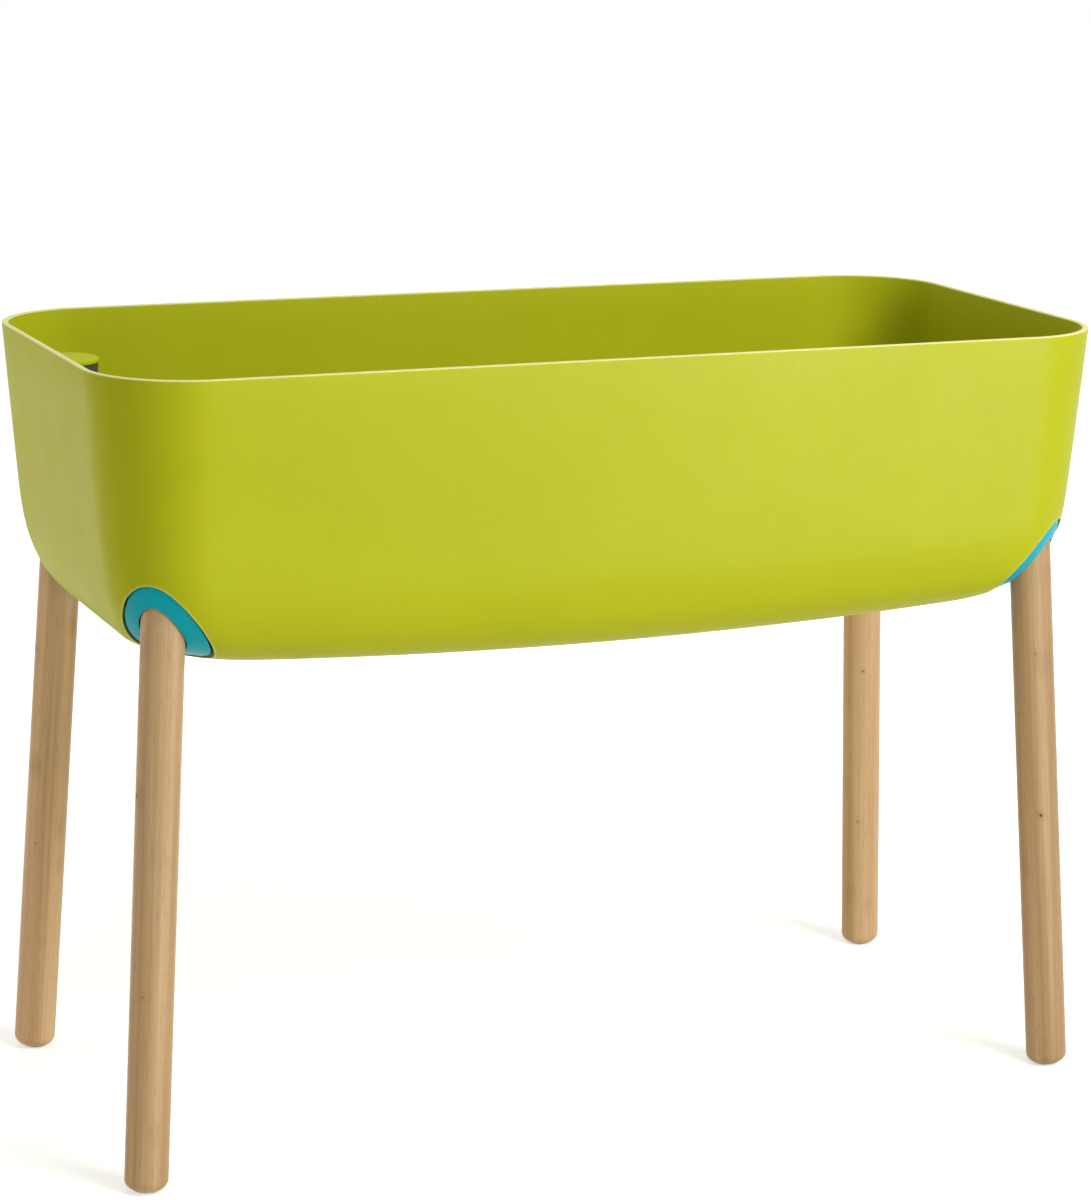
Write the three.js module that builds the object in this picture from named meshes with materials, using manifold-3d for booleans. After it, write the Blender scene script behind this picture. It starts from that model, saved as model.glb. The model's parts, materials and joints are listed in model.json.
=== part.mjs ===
// Grow table: a deep planter tub on four splayed wooden legs, with a water reservoir under the soil.
// Millimetres. +X runs along the tub, -Y is the front, +Z is up and z = 0 is the floor it stands on.

import * as THREE from 'three';
import { mergeVertices } from 'three/addons/utils/BufferGeometryUtils.js';
import Module from 'manifold-3d';

// Tub
const tubLength = 800;
const tubWidth = 370;
const rimHeight = 595;
const tubDepth = 225;
const wall = 5;
const rimRounding = 1.2;
const cornerRadius = 75;
const wallDraft = 0.079;
const bellyRise = 17.5;
const endCurveHeight = 104;
const endCurveDepth = 46;
const sideCurveHeight = 80;
const sideCurveDepth = 60;
const curvePower = 2.7;
const cornerSpread = 0.5;
const leastStraightSide = 1;

// Legs, placed where their axes cross the level of the sockets
const legRadius = 16;
const legInsetX = 48.8;
const legInsetY = 45.2;
const legLeanSlopeX = 0.0579;
const legLeanSlopeY = 0.0525;
const socketLevel = 50;
const footRounding = 7.5;
const legTopChamfer = 1;

// Glides under the legs
const glideRadius = 9.5;
const glideThickness = 1.5;
const glideDome = 0.9;
const glideFlat = 0.25;
const nailRadius = 1;
const nailLength = 12;

// Leg sockets and the pockets that they fill
const pocketRise = 88;
const socketTopRadius = 20.6;
const socketTaper = 0.25;
const socketReveal = 1.1;
const socketPlate = 3.5;
const socketTopThickness = 5;
const socketTopOpening = 10;
const sleeveWall = 3.2;
const finCount = 6;
const finThickness = 2.4;
const pocketWall = 4.5;

// Fasteners
const boltRadius = 4;
const boltInLeg = 42;
const boltPoint = 3;
const boltChamfer = 1;
const sealRadius = 11;
const sealThickness = 2;
const washerRadius = 10;
const washerThickness = 1.6;
const nutAcrossCorners = 15;
const nutHeight = 6.5;
const nutDome = 5;
const nutDomeStep = 1.2;
const nutShoulderRise = 3.5;
const nutShoulderStep = 1.6;
const boltInNut = 7;

// Reservoir floor
const soilDepth = 162;
const floorThickness = 3;
const floorSkirt = 10;
const floorClearance = 2.5;
const footRadiusTop = 9;
const footRadiusBottom = 7;
const floorFootX = 290;
const floorFootY = 60;
const airSlotWidth = 3.5;
const airSlotLength = 32;
const airSlotPitch = 58;
const airSlotInset = 44;

// Wick baskets
const basketX = 185;
const basketRadius = 42;
const basketTaper = 0.12;
const basketWall = 2.2;
const basketFlange = 5;
const basketSlots = 8;
const basketSlotWidth = 3.5;
const basketSlotHeight = 15;
const basketSlotStart = 13;

// Filler tube, its cap and the float inside it
const capBelowRim = 23.5;
const capRadius = 25.5;
const capThickness = 3.2;
const capToWall = 8;
const capSkirtDepth = 8;
const capSkirtWall = 1.8;
const capRounding = 0.8;
const capOverMouth = 0.5;
const mouthHeight = 10;
const funnelHeight = 56;
const tubeRadius = 12;
const tubeWall = 2;
const tubeToPocket = 5;
const tubeInward = 11.7;
const tubeSideways = 2.3;
const tubeAboveFloor = 16;
const tubeLipWidth = 2.6;
const collarWidth = 3.5;
const collarThickness = 2;
const tubeSlotHeight = 8;
const tubeSlotWidth = 3.5;
const floatRadius = 8.6;
const floatHeight = 14;
const floatRodRadius = 1.75;
const floatRodTop = 36;
const floatFootChamfer = 1;
const floatTopChamfer = 2;
const floatRodChamfer = 1;
const guideRise = 76;
const guideHubRadius = 4.2;
const guideThickness = 3;
const guideSpoke = 2;

// Drain
const drainRadius = 12;
const drainBossRadius = 25;
const drainBossStep = 1.5;
const drainFlangeRadius = 19;
const drainFlangeThickness = 3;
const drainFlangeChamfer = 1;
const drainWasherThickness = 2;
const drainPlugTaper = 0.03;
const drainPlugReach = 5;
const drainPlugChamfer = 1.5;
const drainTabWidth = 22;
const drainTabHeight = 11;
const drainTabThickness = 3.4;

// Clearances
const seat = 0.3;
const turning = 0.3;

// Facets
const cornerSteps = 8;
const sideSteps = 6;
const curveSteps = 7;
const roundSegments = 20;
const pocketSegments = 20;
const smallSegments = 10;
const glideSegments = 14;
const legEndSteps = 3;
const domeSteps = 3;
const tabSegments = 5;
const floorRings = [0.25, 0.5, 0.75];
const levelPasses = 6;
const finestEdge = 0.02;
const weldDistance = 1e-4;

// Levels and half sizes that follow from the sizes above
const halfLength = tubLength / 2;
const halfWidth = tubWidth / 2;
const bellyHeight = rimHeight - tubDepth;

// How far cutting shapes reach past a face, and joined shapes into one another
const beyond = 30;
const past = 1;

const wasm = await Module();
wasm.setup();

function toSolid(geometry) {
  const bare = geometry.clone();
  bare.deleteAttribute('normal');
  bare.deleteAttribute('uv');
  const merged = mergeVertices(bare, weldDistance);
  const index = merged.index.array;
  const kept = [];
  for (let i = 0; i < index.length; i += 3) {
    const [a, b, c] = [index[i], index[i + 1], index[i + 2]];
    if (a !== b && b !== c && c !== a) {
      kept.push(a, b, c);
    }
  }
  const vertProperties = new Float32Array(merged.attributes.position.array);
  const triVerts = new Uint32Array(kept);
  const mesh = new wasm.Mesh({ numProp: 3, tolerance: finestEdge, vertProperties, triVerts });
  return new wasm.Manifold(mesh);
}

function toGeometry(solid) {
  const mesh = solid.getMesh();
  const geometry = new THREE.BufferGeometry();
  geometry.setAttribute('position', new THREE.BufferAttribute(new Float32Array(mesh.vertProperties), 3));
  geometry.setIndex(new THREE.BufferAttribute(new Uint32Array(mesh.triVerts), 1));
  geometry.computeVertexNormals();
  return geometry;
}

// A solid through rings of equally many points, lowest first, each anticlockwise seen from above.
function loft(rings, lowCentre, highCentre) {
  const count = rings[0].length;
  const points = [...rings.flat(), lowCentre, highCentre];
  const low = points.length - 2;
  const high = points.length - 1;
  const topRow = (rings.length - 1) * count;
  const index = [];
  for (let i = 0; i < count; i += 1) {
    const next = (i + 1) % count;
    index.push(low, next, i);
    index.push(high, topRow + i, topRow + next);
    for (let row = 0; row < topRow; row += count) {
      index.push(row + i, row + next, row + count + next);
      index.push(row + i, row + count + next, row + count + i);
    }
  }
  const geometry = new THREE.BufferGeometry().setFromPoints(points);
  geometry.setIndex(index);
  return geometry;
}

// A solid of revolution about +Z from [radius, height] pairs, lowest first along the outside.
function revolve(profile, segments) {
  const points = profile.map(([radius, height]) => new THREE.Vector2(radius, height));
  const geometry = new THREE.LatheGeometry(points, segments);
  geometry.rotateX(Math.PI / 2);
  return geometry;
}

function block(sizeX, sizeY, sizeZ, x, y, z) {
  const geometry = new THREE.BoxGeometry(sizeX, sizeY, sizeZ);
  geometry.translate(x, y, z);
  return geometry;
}

function disc(radius, low, high, segments) {
  return revolve([[0, low], [radius, low], [radius, high], [0, high]], segments);
}

function washer(inner, outer, low, high, segments) {
  return revolve([[inner, low], [outer, low], [outer, high], [inner, high], [inner, low]], segments);
}

function cut(solid, geometries) {
  return geometries.reduce((rest, geometry) => rest.subtract(toSolid(geometry)), solid);
}

// The tub's form. A level is a height before the belly's arch lifts it towards the two ends,
// and an inset of 0 is the outside while an inset of the wall is the inside.
function archRise(x, level, inset) {
  const depth = (rimHeight - level) / (tubDepth - inset);
  return bellyRise * (x / halfLength) ** 2 * depth ** 2;
}

function drawnIn(level, inset, curveHeight, curveDepth) {
  const run = (bellyHeight + curveHeight - level) / (curveHeight - inset);
  const share = THREE.MathUtils.clamp(run, 0, 1) ** curvePower;
  return (curveDepth - inset) * (1 - (1 - share) ** (1 / curvePower));
}

function section(level, inset) {
  const slope = wallDraft * (rimHeight - level) + inset;
  const endways = drawnIn(level, inset, endCurveHeight, endCurveDepth);
  const sideways = drawnIn(level, inset, sideCurveHeight, sideCurveDepth);
  const length = halfLength - slope - endways;
  const width = halfWidth - slope - sideways;
  const radius = Math.min(cornerRadius - slope + cornerSpread * endways, width - leastStraightSide);
  return { length, width, radius };
}

// Points of a rectangle with round corners, anticlockwise, with steps along its two long sides.
function outline({ length, width, radius }) {
  const points = [];
  const corners = [[1, -1], [1, 1], [-1, 1], [-1, -1]];
  corners.forEach(([sideX, sideY], quarter) => {
    for (let step = 0; step <= cornerSteps; step += 1) {
      const angle = (quarter - 1 + step / cornerSteps) * Math.PI / 2;
      const x = sideX * (length - radius) + radius * Math.cos(angle);
      const y = sideY * (width - radius) + radius * Math.sin(angle);
      points.push(new THREE.Vector2(x, y));
    }
    if (quarter % 2 === 1) {
      for (let step = 1; step < sideSteps; step += 1) {
        const x = sideX * (length - radius) * (1 - 2 * step / sideSteps);
        points.push(new THREE.Vector2(x, sideY * width));
      }
    }
  });
  return points;
}

function levelRing(level, inset, scale = 1) {
  return outline(section(level, inset)).map((point) => {
    const x = point.x * scale;
    return new THREE.Vector3(x, point.y * scale, level + archRise(x, level, inset));
  });
}

function tubForm(inset, rimInset, top) {
  const floorLevel = bellyHeight + inset;
  const curveTop = bellyHeight + endCurveHeight;
  const rings = floorRings.map((scale) => levelRing(floorLevel, inset, scale));
  for (let step = curveSteps; step >= 0; step -= 1) {
    const share = Math.sin((step / curveSteps) * Math.PI / 2) ** (2 / curvePower);
    rings.push(levelRing(curveTop - share * (curveTop - floorLevel), inset));
  }
  rings.push(levelRing((curveTop + rimHeight) / 2, inset));
  rings.push(levelRing(rimHeight - rimRounding, inset));
  rings.push(levelRing(rimHeight, rimInset));
  if (top > rimHeight) {
    rings.push(levelRing(top, rimInset));
  }
  return loft(rings, new THREE.Vector3(0, 0, floorLevel), new THREE.Vector3(0, 0, top));
}

// The height of the tub's inner floor on its flat part.
function innerFloor(x) {
  return bellyHeight + wall + archRise(x, bellyHeight + wall, wall);
}

// The section of the tub's inside at a true height, no larger anywhere than it is at the ends.
function innerSection(height, clearance) {
  let level = height;
  for (let pass = 0; pass < levelPasses; pass += 1) {
    level = height - archRise(halfLength, level, wall);
  }
  const { length, width, radius } = section(level, wall);
  return { length: length - clearance, width: width - clearance, radius: radius - clearance };
}

// Leg frames: each has its origin at the tip of the foot and its +Z up along the leg.
const legAxisZ = 1 / Math.hypot(legLeanSlopeX, legLeanSlopeY, 1);
const domeRadius = (glideRadius ** 2 + glideDome ** 2) / (2 * glideDome);
const footTip = domeRadius * (1 - legAxisZ) - glideFlat;
const anchorHeight = bellyHeight + socketLevel;

function alongLeg(height) {
  return (height - footTip) / legAxisZ;
}

function legAxisAt(height, sideX, sideY) {
  const rise = height - anchorHeight;
  const x = sideX * (halfLength - legInsetX - legLeanSlopeX * rise);
  const y = sideY * (halfWidth - legInsetY - legLeanSlopeY * rise);
  return new THREE.Vector3(x, y, height);
}

function legFrame(sideX, sideY) {
  const frame = new THREE.Group();
  const up = legAxisAt(anchorHeight, sideX, sideY).sub(legAxisAt(footTip, sideX, sideY));
  frame.quaternion.setFromUnitVectors(new THREE.Vector3(0, 0, 1), up.normalize());
  frame.position.copy(legAxisAt(footTip, sideX, sideY));
  frame.updateMatrix();
  return frame;
}

const corners = [
  { name: 'front_left', sideX: -1, sideY: -1 },
  { name: 'front_right', sideX: 1, sideY: -1 },
  { name: 'rear_left', sideX: -1, sideY: 1 },
  { name: 'rear_right', sideX: 1, sideY: 1 },
];
corners.forEach((corner) => {
  corner.frame = legFrame(corner.sideX, corner.sideY);
});

// Heights along the leg
const pocketTop = alongLeg(bellyHeight + pocketRise);
const socketTop = pocketTop - seat;
const legTop = socketTop - socketTopThickness - seat;
const legFoot = glideThickness + seat;
const coneFoot = alongLeg(bellyHeight - beyond);
const sealFoot = pocketTop + pocketWall + seat;
const washerFoot = sealFoot + sealThickness + seat;
const nutFoot = washerFoot + washerThickness + seat;
const boltTop = nutFoot + boltInNut;
const boltHole = boltRadius + turning;

// A cone about the leg, widening downwards as the socket does.
function socketCone(extra, top) {
  const radiusAt = (height) => socketTopRadius + extra + socketTaper * (socketTop - height);
  const profile = [[0, coneFoot], [radiusAt(coneFoot), coneFoot], [radiusAt(top), top], [0, top]];
  return revolve(profile, pocketSegments);
}

const outside = tubForm(0, rimRounding, rimHeight);
const outsideSolid = toSolid(outside);
const insideSolid = toSolid(tubForm(wall, wall - rimRounding, rimHeight + beyond));

const drainFlat = bellyHeight - drainBossStep;
const drainFloor = bellyHeight + wall + drainBossStep;

function makeTub() {
  const bosses = corners.map(({ frame }) => {
    return socketCone(pocketWall, pocketTop + pocketWall).applyMatrix4(frame.matrix);
  });
  const pockets = corners.map(({ frame }) => socketCone(0, pocketTop).applyMatrix4(frame.matrix));
  const boltHoles = corners.map(({ frame }) => {
    return disc(boltHole, legTop, boltTop + beyond, smallSegments).applyMatrix4(frame.matrix);
  });
  const drainBoss = disc(drainBossRadius, drainFlat, drainFloor, roundSegments);
  const drainHole = disc(drainRadius, drainFlat - beyond, drainFloor + beyond, roundSegments);
  const hollow = cut(insideSolid, [...bosses, drainBoss]);
  const shell = outsideSolid.subtract(hollow).add(toSolid(drainBoss));
  return toGeometry(cut(shell, [...pockets, ...boltHoles, drainHole]));
}

// A flush plate, a sleeve for the leg and fins between them, cut to the tub's own outside surface.
// The sleeve ends in a ring that the leg's shoulder bears on, and the bolt passes through its opening.
function makeSocket(frame, sideX, sideY) {
  const toLeg = frame.matrix.clone().invert();
  const skin = toSolid(outside.clone().applyMatrix4(toLeg));
  const inwards = outside.clone().translate(-sideX * socketPlate, -sideY * socketPlate, socketPlate);
  const raisedSkin = toSolid(inwards.applyMatrix4(toLeg));
  const flush = toSolid(socketCone(-socketReveal, socketTop)).intersect(skin);
  const fins = [];
  for (let i = 0; i < finCount; i += 1) {
    const fin = block(cornerRadius, finThickness, pocketTop, cornerRadius / 2, 0, pocketTop / 2);
    fins.push(fin.rotateZ((i + 0.5) * 2 * Math.PI / finCount));
  }
  const boreRadius = legRadius + turning;
  const sleeve = disc(boreRadius + sleeveWall, coneFoot - beyond, socketTop + beyond, pocketSegments);
  const hollows = cut(raisedSkin, [sleeve, ...fins]);
  const body = flush.subtract(hollows);
  const legBore = disc(boreRadius, coneFoot - beyond, legTop + seat, pocketSegments);
  const topOpening = disc(socketTopOpening, legTop - beyond, socketTop + beyond, pocketSegments);
  return toGeometry(cut(body, [legBore, topOpening]));
}

function makeLeg() {
  const profile = [[0, legFoot + nailLength], [nailRadius + turning, legFoot + nailLength]];
  profile.push([nailRadius + turning, legFoot]);
  for (let step = 0; step <= legEndSteps; step += 1) {
    const angle = (step / legEndSteps) * Math.PI / 2;
    const radius = legRadius - footRounding + footRounding * Math.sin(angle);
    profile.push([radius, legFoot + footRounding - footRounding * Math.cos(angle)]);
  }
  profile.push([legRadius, legTop - legTopChamfer], [legRadius - legTopChamfer, legTop]);
  profile.push([boltHole, legTop], [boltHole, legTop - boltInLeg], [0, legTop - boltInLeg]);
  return revolve(profile, roundSegments);
}

// A domed pad with its nail, cut flat where it stands on the floor.
function makeGlide(frame) {
  const profile = [];
  for (let step = 0; step <= domeSteps; step += 1) {
    const radius = glideRadius * step / domeSteps;
    profile.push([radius, domeRadius - Math.sqrt(domeRadius ** 2 - radius ** 2)]);
  }
  const nailTop = glideThickness + nailLength;
  profile.push([glideRadius, glideThickness], [nailRadius, glideThickness]);
  profile.push([nailRadius, nailTop], [0, nailTop]);
  const below = block(beyond * 2, beyond * 2, beyond, frame.position.x, frame.position.y, -beyond / 2);
  below.applyMatrix4(frame.matrix.clone().invert());
  return toGeometry(cut(toSolid(revolve(profile, glideSegments)), [below]));
}

function makeBolt() {
  const low = legTop - boltInLeg + seat;
  const profile = [
    [0, low], [boltRadius, low + boltPoint], [boltRadius, boltTop - boltChamfer],
    [boltRadius - boltChamfer, boltTop], [0, boltTop],
  ];
  return revolve(profile, smallSegments);
}

function makeRing(radius, foot, thickness) {
  return washer(boltHole, radius, foot, foot + thickness, smallSegments);
}

function makeNut() {
  const hexTop = nutFoot + nutHeight;
  const domeBase = nutAcrossCorners / 2 - nutDomeStep;
  const hex = disc(nutAcrossCorners / 2, nutFoot, hexTop, 6);
  const dome = revolve([
    [0, nutFoot], [domeBase, nutFoot], [domeBase, hexTop],
    [domeBase - nutShoulderStep, hexTop + nutShoulderRise], [0, hexTop + nutDome],
  ], smallSegments);
  const nut = toSolid(hex).add(toSolid(dome));
  return toGeometry(cut(nut, [disc(boltHole, nutFoot - past, boltTop + seat, smallSegments)]));
}

// Reservoir floor
const floorTop = rimHeight - soilDepth;
const floorUnderside = floorTop - floorThickness;
const skirtFoot = floorUnderside - floorSkirt;

function slab(sizes, low, high) {
  const points = outline(sizes);
  const ringAt = (z) => points.map((point) => new THREE.Vector3(point.x, point.y, z));
  return loft([ringAt(low), ringAt(high)], new THREE.Vector3(0, 0, low), new THREE.Vector3(0, 0, high));
}

// Filler tube: its shaft stands in from the wall, beside the pocket of the rear left leg.
const shaftFoot = innerFloor(halfLength - endCurveDepth) + tubeAboveFloor;
const pocketThere = socketTopRadius + pocketWall + socketTaper * (pocketTop - alongLeg(shaftFoot));
const capTop = rimHeight - capBelowRim;
const mouthTop = capTop - capThickness - seat;
const mouthFoot = mouthTop - mouthHeight;
const funnelFoot = mouthFoot - funnelHeight;
const wallAtCap = halfLength - wall - wallDraft * capBelowRim;
const mouthX = -(wallAtCap - capToWall - capRadius);
const shaftX = mouthX + tubeInward;
const shaftY = legAxisAt(shaftFoot, -1, 1).y - pocketThere - tubeRadius - tubeToPocket;
const mouthY = shaftY + tubeSideways;
const mouthOuter = capRadius - capOverMouth;
const collarFoot = floorTop + seat;

function tubeRing(radius, x, y, z) {
  const points = [];
  for (let i = 0; i < roundSegments; i += 1) {
    const angle = i * 2 * Math.PI / roundSegments;
    points.push(new THREE.Vector3(x + radius * Math.cos(angle), y + radius * Math.sin(angle), z));
  }
  return points;
}

function funnelForm(inset, low, high) {
  const rings = [
    tubeRing(tubeRadius - inset, shaftX, shaftY, low),
    tubeRing(tubeRadius - inset, shaftX, shaftY, funnelFoot),
    tubeRing(mouthOuter - inset, mouthX, mouthY, mouthFoot),
    tubeRing(mouthOuter - inset, mouthX, mouthY, high),
  ];
  return loft(rings, new THREE.Vector3(shaftX, shaftY, low), new THREE.Vector3(mouthX, mouthY, high));
}

function makeFillerTube() {
  const toShaft = (geometry) => geometry.translate(shaftX, shaftY, 0);
  let tube = toSolid(funnelForm(0, shaftFoot, mouthTop));
  const collar = disc(tubeRadius + collarWidth, collarFoot, collarFoot + collarThickness, roundSegments);
  tube = tube.add(toSolid(toShaft(collar)));
  const lipRadius = tubeRadius - tubeWall - tubeLipWidth;
  const lip = disc(lipRadius, shaftFoot - beyond, shaftFoot + beyond, roundSegments);
  tube = cut(tube, [funnelForm(tubeWall, shaftFoot + tubeWall, mouthTop + past), toShaft(lip)]);
  for (let i = 0; i < 2; i += 1) {
    const slot = block(beyond * 2, tubeSlotWidth, tubeSlotHeight * 2, 0, 0, 0);
    slot.rotateZ((i + 0.5) * Math.PI / 2);
    tube = cut(tube, [slot.translate(shaftX, shaftY, shaftFoot)]);
  }
  const guideFoot = floorTop + guideRise - guideThickness;
  let guide = toSolid(disc(guideHubRadius, guideFoot, guideFoot + guideThickness, smallSegments));
  for (let i = 0; i < 3; i += 1) {
    const reach = tubeRadius - tubeWall / 2;
    const spoke = block(reach, guideSpoke, guideThickness, reach / 2, 0, guideFoot + guideThickness / 2);
    guide = guide.add(toSolid(spoke.rotateZ(i * 2 * Math.PI / 3)));
  }
  const guided = tube.add(toSolid(toShaft(toGeometry(guide))));
  const guideTop = guideFoot + guideThickness;
  const rodHole = disc(floatRodRadius + turning, guideFoot - past, guideTop + past, smallSegments);
  return toGeometry(cut(guided, [toShaft(rodHole)]));
}

function makeCap() {
  const skirtOuter = mouthOuter - tubeWall - seat;
  const skirtInner = skirtOuter - capSkirtWall;
  const plateFoot = capTop - capThickness;
  const skirtFootZ = plateFoot - capSkirtDepth;
  const profile = [
    [0, plateFoot], [skirtInner, plateFoot], [skirtInner, skirtFootZ], [skirtOuter, skirtFootZ],
    [skirtOuter, plateFoot], [capRadius, plateFoot], [capRadius, capTop - capRounding],
    [capRadius - capRounding, capTop], [0, capTop],
  ];
  return revolve(profile, roundSegments).translate(mouthX, mouthY, 0);
}

function makeFloat() {
  const low = shaftFoot + tubeWall + seat;
  const high = low + floatHeight;
  const rodTop = capTop - floatRodTop;
  const profile = [
    [0, low], [floatRadius - floatFootChamfer, low], [floatRadius, low + floatFootChamfer],
    [floatRadius, high - floatTopChamfer], [floatRadius - floatTopChamfer, high],
    [floatRodRadius, high], [floatRodRadius, rodTop - floatRodChamfer],
    [floatRodRadius - floatRodChamfer, rodTop], [0, rodTop],
  ];
  return revolve(profile, roundSegments).translate(shaftX, shaftY, 0);
}

function makeReservoirFloor() {
  const sizes = innerSection(skirtFoot, floorClearance);
  const inner = innerSection(skirtFoot, floorClearance + floorThickness);
  const bossCones = (extra) => corners.map(({ frame }) => {
    const cone = socketCone(pocketWall + floorClearance + extra, pocketTop + beyond);
    return cone.applyMatrix4(frame.matrix);
  });
  const shell = cut(toSolid(slab(sizes, skirtFoot, floorTop)), bossCones(0));
  const space = toSolid(slab(inner, skirtFoot - beyond, floorUnderside));
  const hollow = cut(space, bossCones(floorThickness));
  let floor = shell.subtract(hollow);
  [-floorFootX, 0, floorFootX].forEach((x) => {
    [-floorFootY, floorFootY].forEach((y) => {
      const low = innerFloor(Math.abs(x) + footRadiusBottom) + seat;
      const high = floorUnderside + past;
      const profile = [[0, low], [footRadiusBottom, low], [footRadiusTop, high], [0, high]];
      floor = floor.add(toSolid(revolve(profile, smallSegments).translate(x, y, 0)));
    });
  });
  const holes = [-basketX, basketX].map((x) => {
    const radius = basketRadius + seat + basketTaper * floorThickness;
    return disc(radius, skirtFoot, floorTop + past, roundSegments).translate(x, 0, 0);
  });
  const tubeHole = disc(tubeRadius + seat, skirtFoot, floorTop + past, roundSegments);
  holes.push(tubeHole.translate(shaftX, shaftY, 0));
  const slotY = sizes.width - airSlotInset;
  const slotCut = floorThickness * 2 + past;
  const slotReach = Math.floor((sizes.length - cornerRadius) / airSlotPitch);
  for (let i = -slotReach; i <= slotReach; i += 1) {
    [-slotY, slotY].forEach((y) => {
      holes.push(block(airSlotWidth, airSlotLength, slotCut, i * airSlotPitch, y, floorTop));
    });
  }
  return toGeometry(cut(floor, holes));
}

function makeBasket(x) {
  const mouth = floorTop + seat;
  const foot = innerFloor(Math.abs(x) + basketRadius) + seat;
  const radiusAt = (z) => basketRadius - basketTaper * (mouth - z);
  const profile = [
    [0, foot], [radiusAt(foot), foot], [basketRadius, mouth], [basketRadius + basketFlange, mouth],
    [basketRadius + basketFlange, mouth + basketWall], [basketRadius - basketWall, mouth + basketWall],
    [radiusAt(foot) - basketWall, foot + basketWall], [0, foot + basketWall],
  ];
  const slots = [];
  for (let i = 0; i < basketSlots; i += 1) {
    const middle = basketSlotStart + basketRadius / 2;
    const slot = block(basketRadius, basketSlotWidth, basketSlotHeight * 2, middle, 0, foot);
    slots.push(slot.rotateZ((i + 0.5) * 2 * Math.PI / basketSlots));
  }
  return toGeometry(cut(toSolid(revolve(profile, roundSegments)), slots)).translate(x, 0, 0);
}

function makeDrainBung() {
  const flangeTop = drainFlat - drainWasherThickness;
  const flangeFoot = flangeTop - drainFlangeThickness;
  const plugTop = drainFloor + drainPlugReach;
  const plugRadius = drainRadius - turning;
  const tipRadius = plugRadius - drainPlugTaper * (plugTop - flangeTop);
  const profile = [
    [0, flangeFoot], [drainFlangeRadius - drainFlangeChamfer, flangeFoot],
    [drainFlangeRadius, flangeFoot + drainFlangeChamfer], [drainFlangeRadius, flangeTop],
    [plugRadius, flangeTop], [tipRadius, plugTop - drainPlugChamfer],
    [tipRadius - drainPlugChamfer, plugTop], [0, plugTop],
  ];
  const tabFoot = flangeFoot - drainTabHeight;
  const shape = new THREE.Shape();
  const corner = drainTabHeight / 2;
  shape.moveTo(-drainTabWidth / 2, flangeFoot + past);
  shape.lineTo(-drainTabWidth / 2, tabFoot + corner);
  shape.absarc(-drainTabWidth / 2 + corner, tabFoot + corner, corner, Math.PI, 1.5 * Math.PI);
  shape.absarc(drainTabWidth / 2 - corner, tabFoot + corner, corner, 1.5 * Math.PI, 2 * Math.PI);
  shape.lineTo(drainTabWidth / 2, flangeFoot + past);
  const tab = new THREE.ExtrudeGeometry(shape, {
    depth: drainTabThickness,
    bevelEnabled: false,
    curveSegments: tabSegments,
  });
  tab.rotateX(Math.PI / 2).translate(0, drainTabThickness / 2, 0);
  return toGeometry(toSolid(revolve(profile, roundSegments)).add(toSolid(tab)));
}

function makeDrainWasher() {
  const low = drainFlat - drainWasherThickness;
  return washer(drainRadius + turning, drainFlangeRadius, low, drainFlat, roundSegments);
}

// Materials
const lime = { color: 0xb6c11f, roughness: 0.38, metalness: 0 };
const turquoise = { color: 0x1c9aa2, roughness: 0.4, metalness: 0 };
const beech = { color: 0xc9a077, roughness: 0.6, metalness: 0 };
const steel = { color: 0xb9bcc0, roughness: 0.32, metalness: 1 };
const blackRubber = { color: 0x262626, roughness: 0.85, metalness: 0 };
const whitePlastic = { color: 0xe9e7e0, roughness: 0.5, metalness: 0 };
const darkPlastic = { color: 0x3b3f3a, roughness: 0.6, metalness: 0 };
const redFoam = { color: 0xc8352b, roughness: 0.6, metalness: 0 };

function piece(name, geometry, look) {
  const mesh = new THREE.Mesh(geometry, new THREE.MeshStandardMaterial(look));
  mesh.name = name;
  return mesh;
}

const group = new THREE.Group();
group.add(piece('tub', makeTub(), lime));

corners.forEach(({ name, frame, sideX, sideY }) => {
  frame.add(piece(`leg_${name}`, makeLeg(), beech));
  frame.add(piece(`socket_${name}`, makeSocket(frame, sideX, sideY), turquoise));
  frame.add(piece(`glide_${name}`, makeGlide(frame), whitePlastic));
  frame.add(piece(`bolt_${name}`, makeBolt(), steel));
  frame.add(piece(`bolt_seal_${name}`, makeRing(sealRadius, sealFoot, sealThickness), blackRubber));
  frame.add(piece(`bolt_washer_${name}`, makeRing(washerRadius, washerFoot, washerThickness), steel));
  frame.add(piece(`cap_nut_${name}`, makeNut(), steel));
  group.add(frame);
});

group.add(piece('reservoir_floor', makeReservoirFloor(), darkPlastic));
group.add(piece('wick_basket_left', makeBasket(-basketX), darkPlastic));
group.add(piece('wick_basket_right', makeBasket(basketX), darkPlastic));
group.add(piece('filler_tube', makeFillerTube(), darkPlastic));
group.add(piece('filler_cap', makeCap(), lime));
group.add(piece('float', makeFloat(), redFoam));

group.add(piece('drain_washer', makeDrainWasher(), blackRubber));
group.add(piece('drain_bung', makeDrainBung(), blackRubber));

export default group;
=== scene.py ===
"""Looks of the grow table: a moulded tub on four wooden legs, with the water reservoir inside it.

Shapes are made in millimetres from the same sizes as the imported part, with finer curves, and are
scaled to metres when each piece is finished. Every piece stands for the node it is named after.
"""

import json
import math

import bmesh
import bpy
import numpy as np
from mathutils import Matrix, Vector
from mathutils.bvhtree import BVHTree
from mathutils.interpolate import poly_3d_calc


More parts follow.
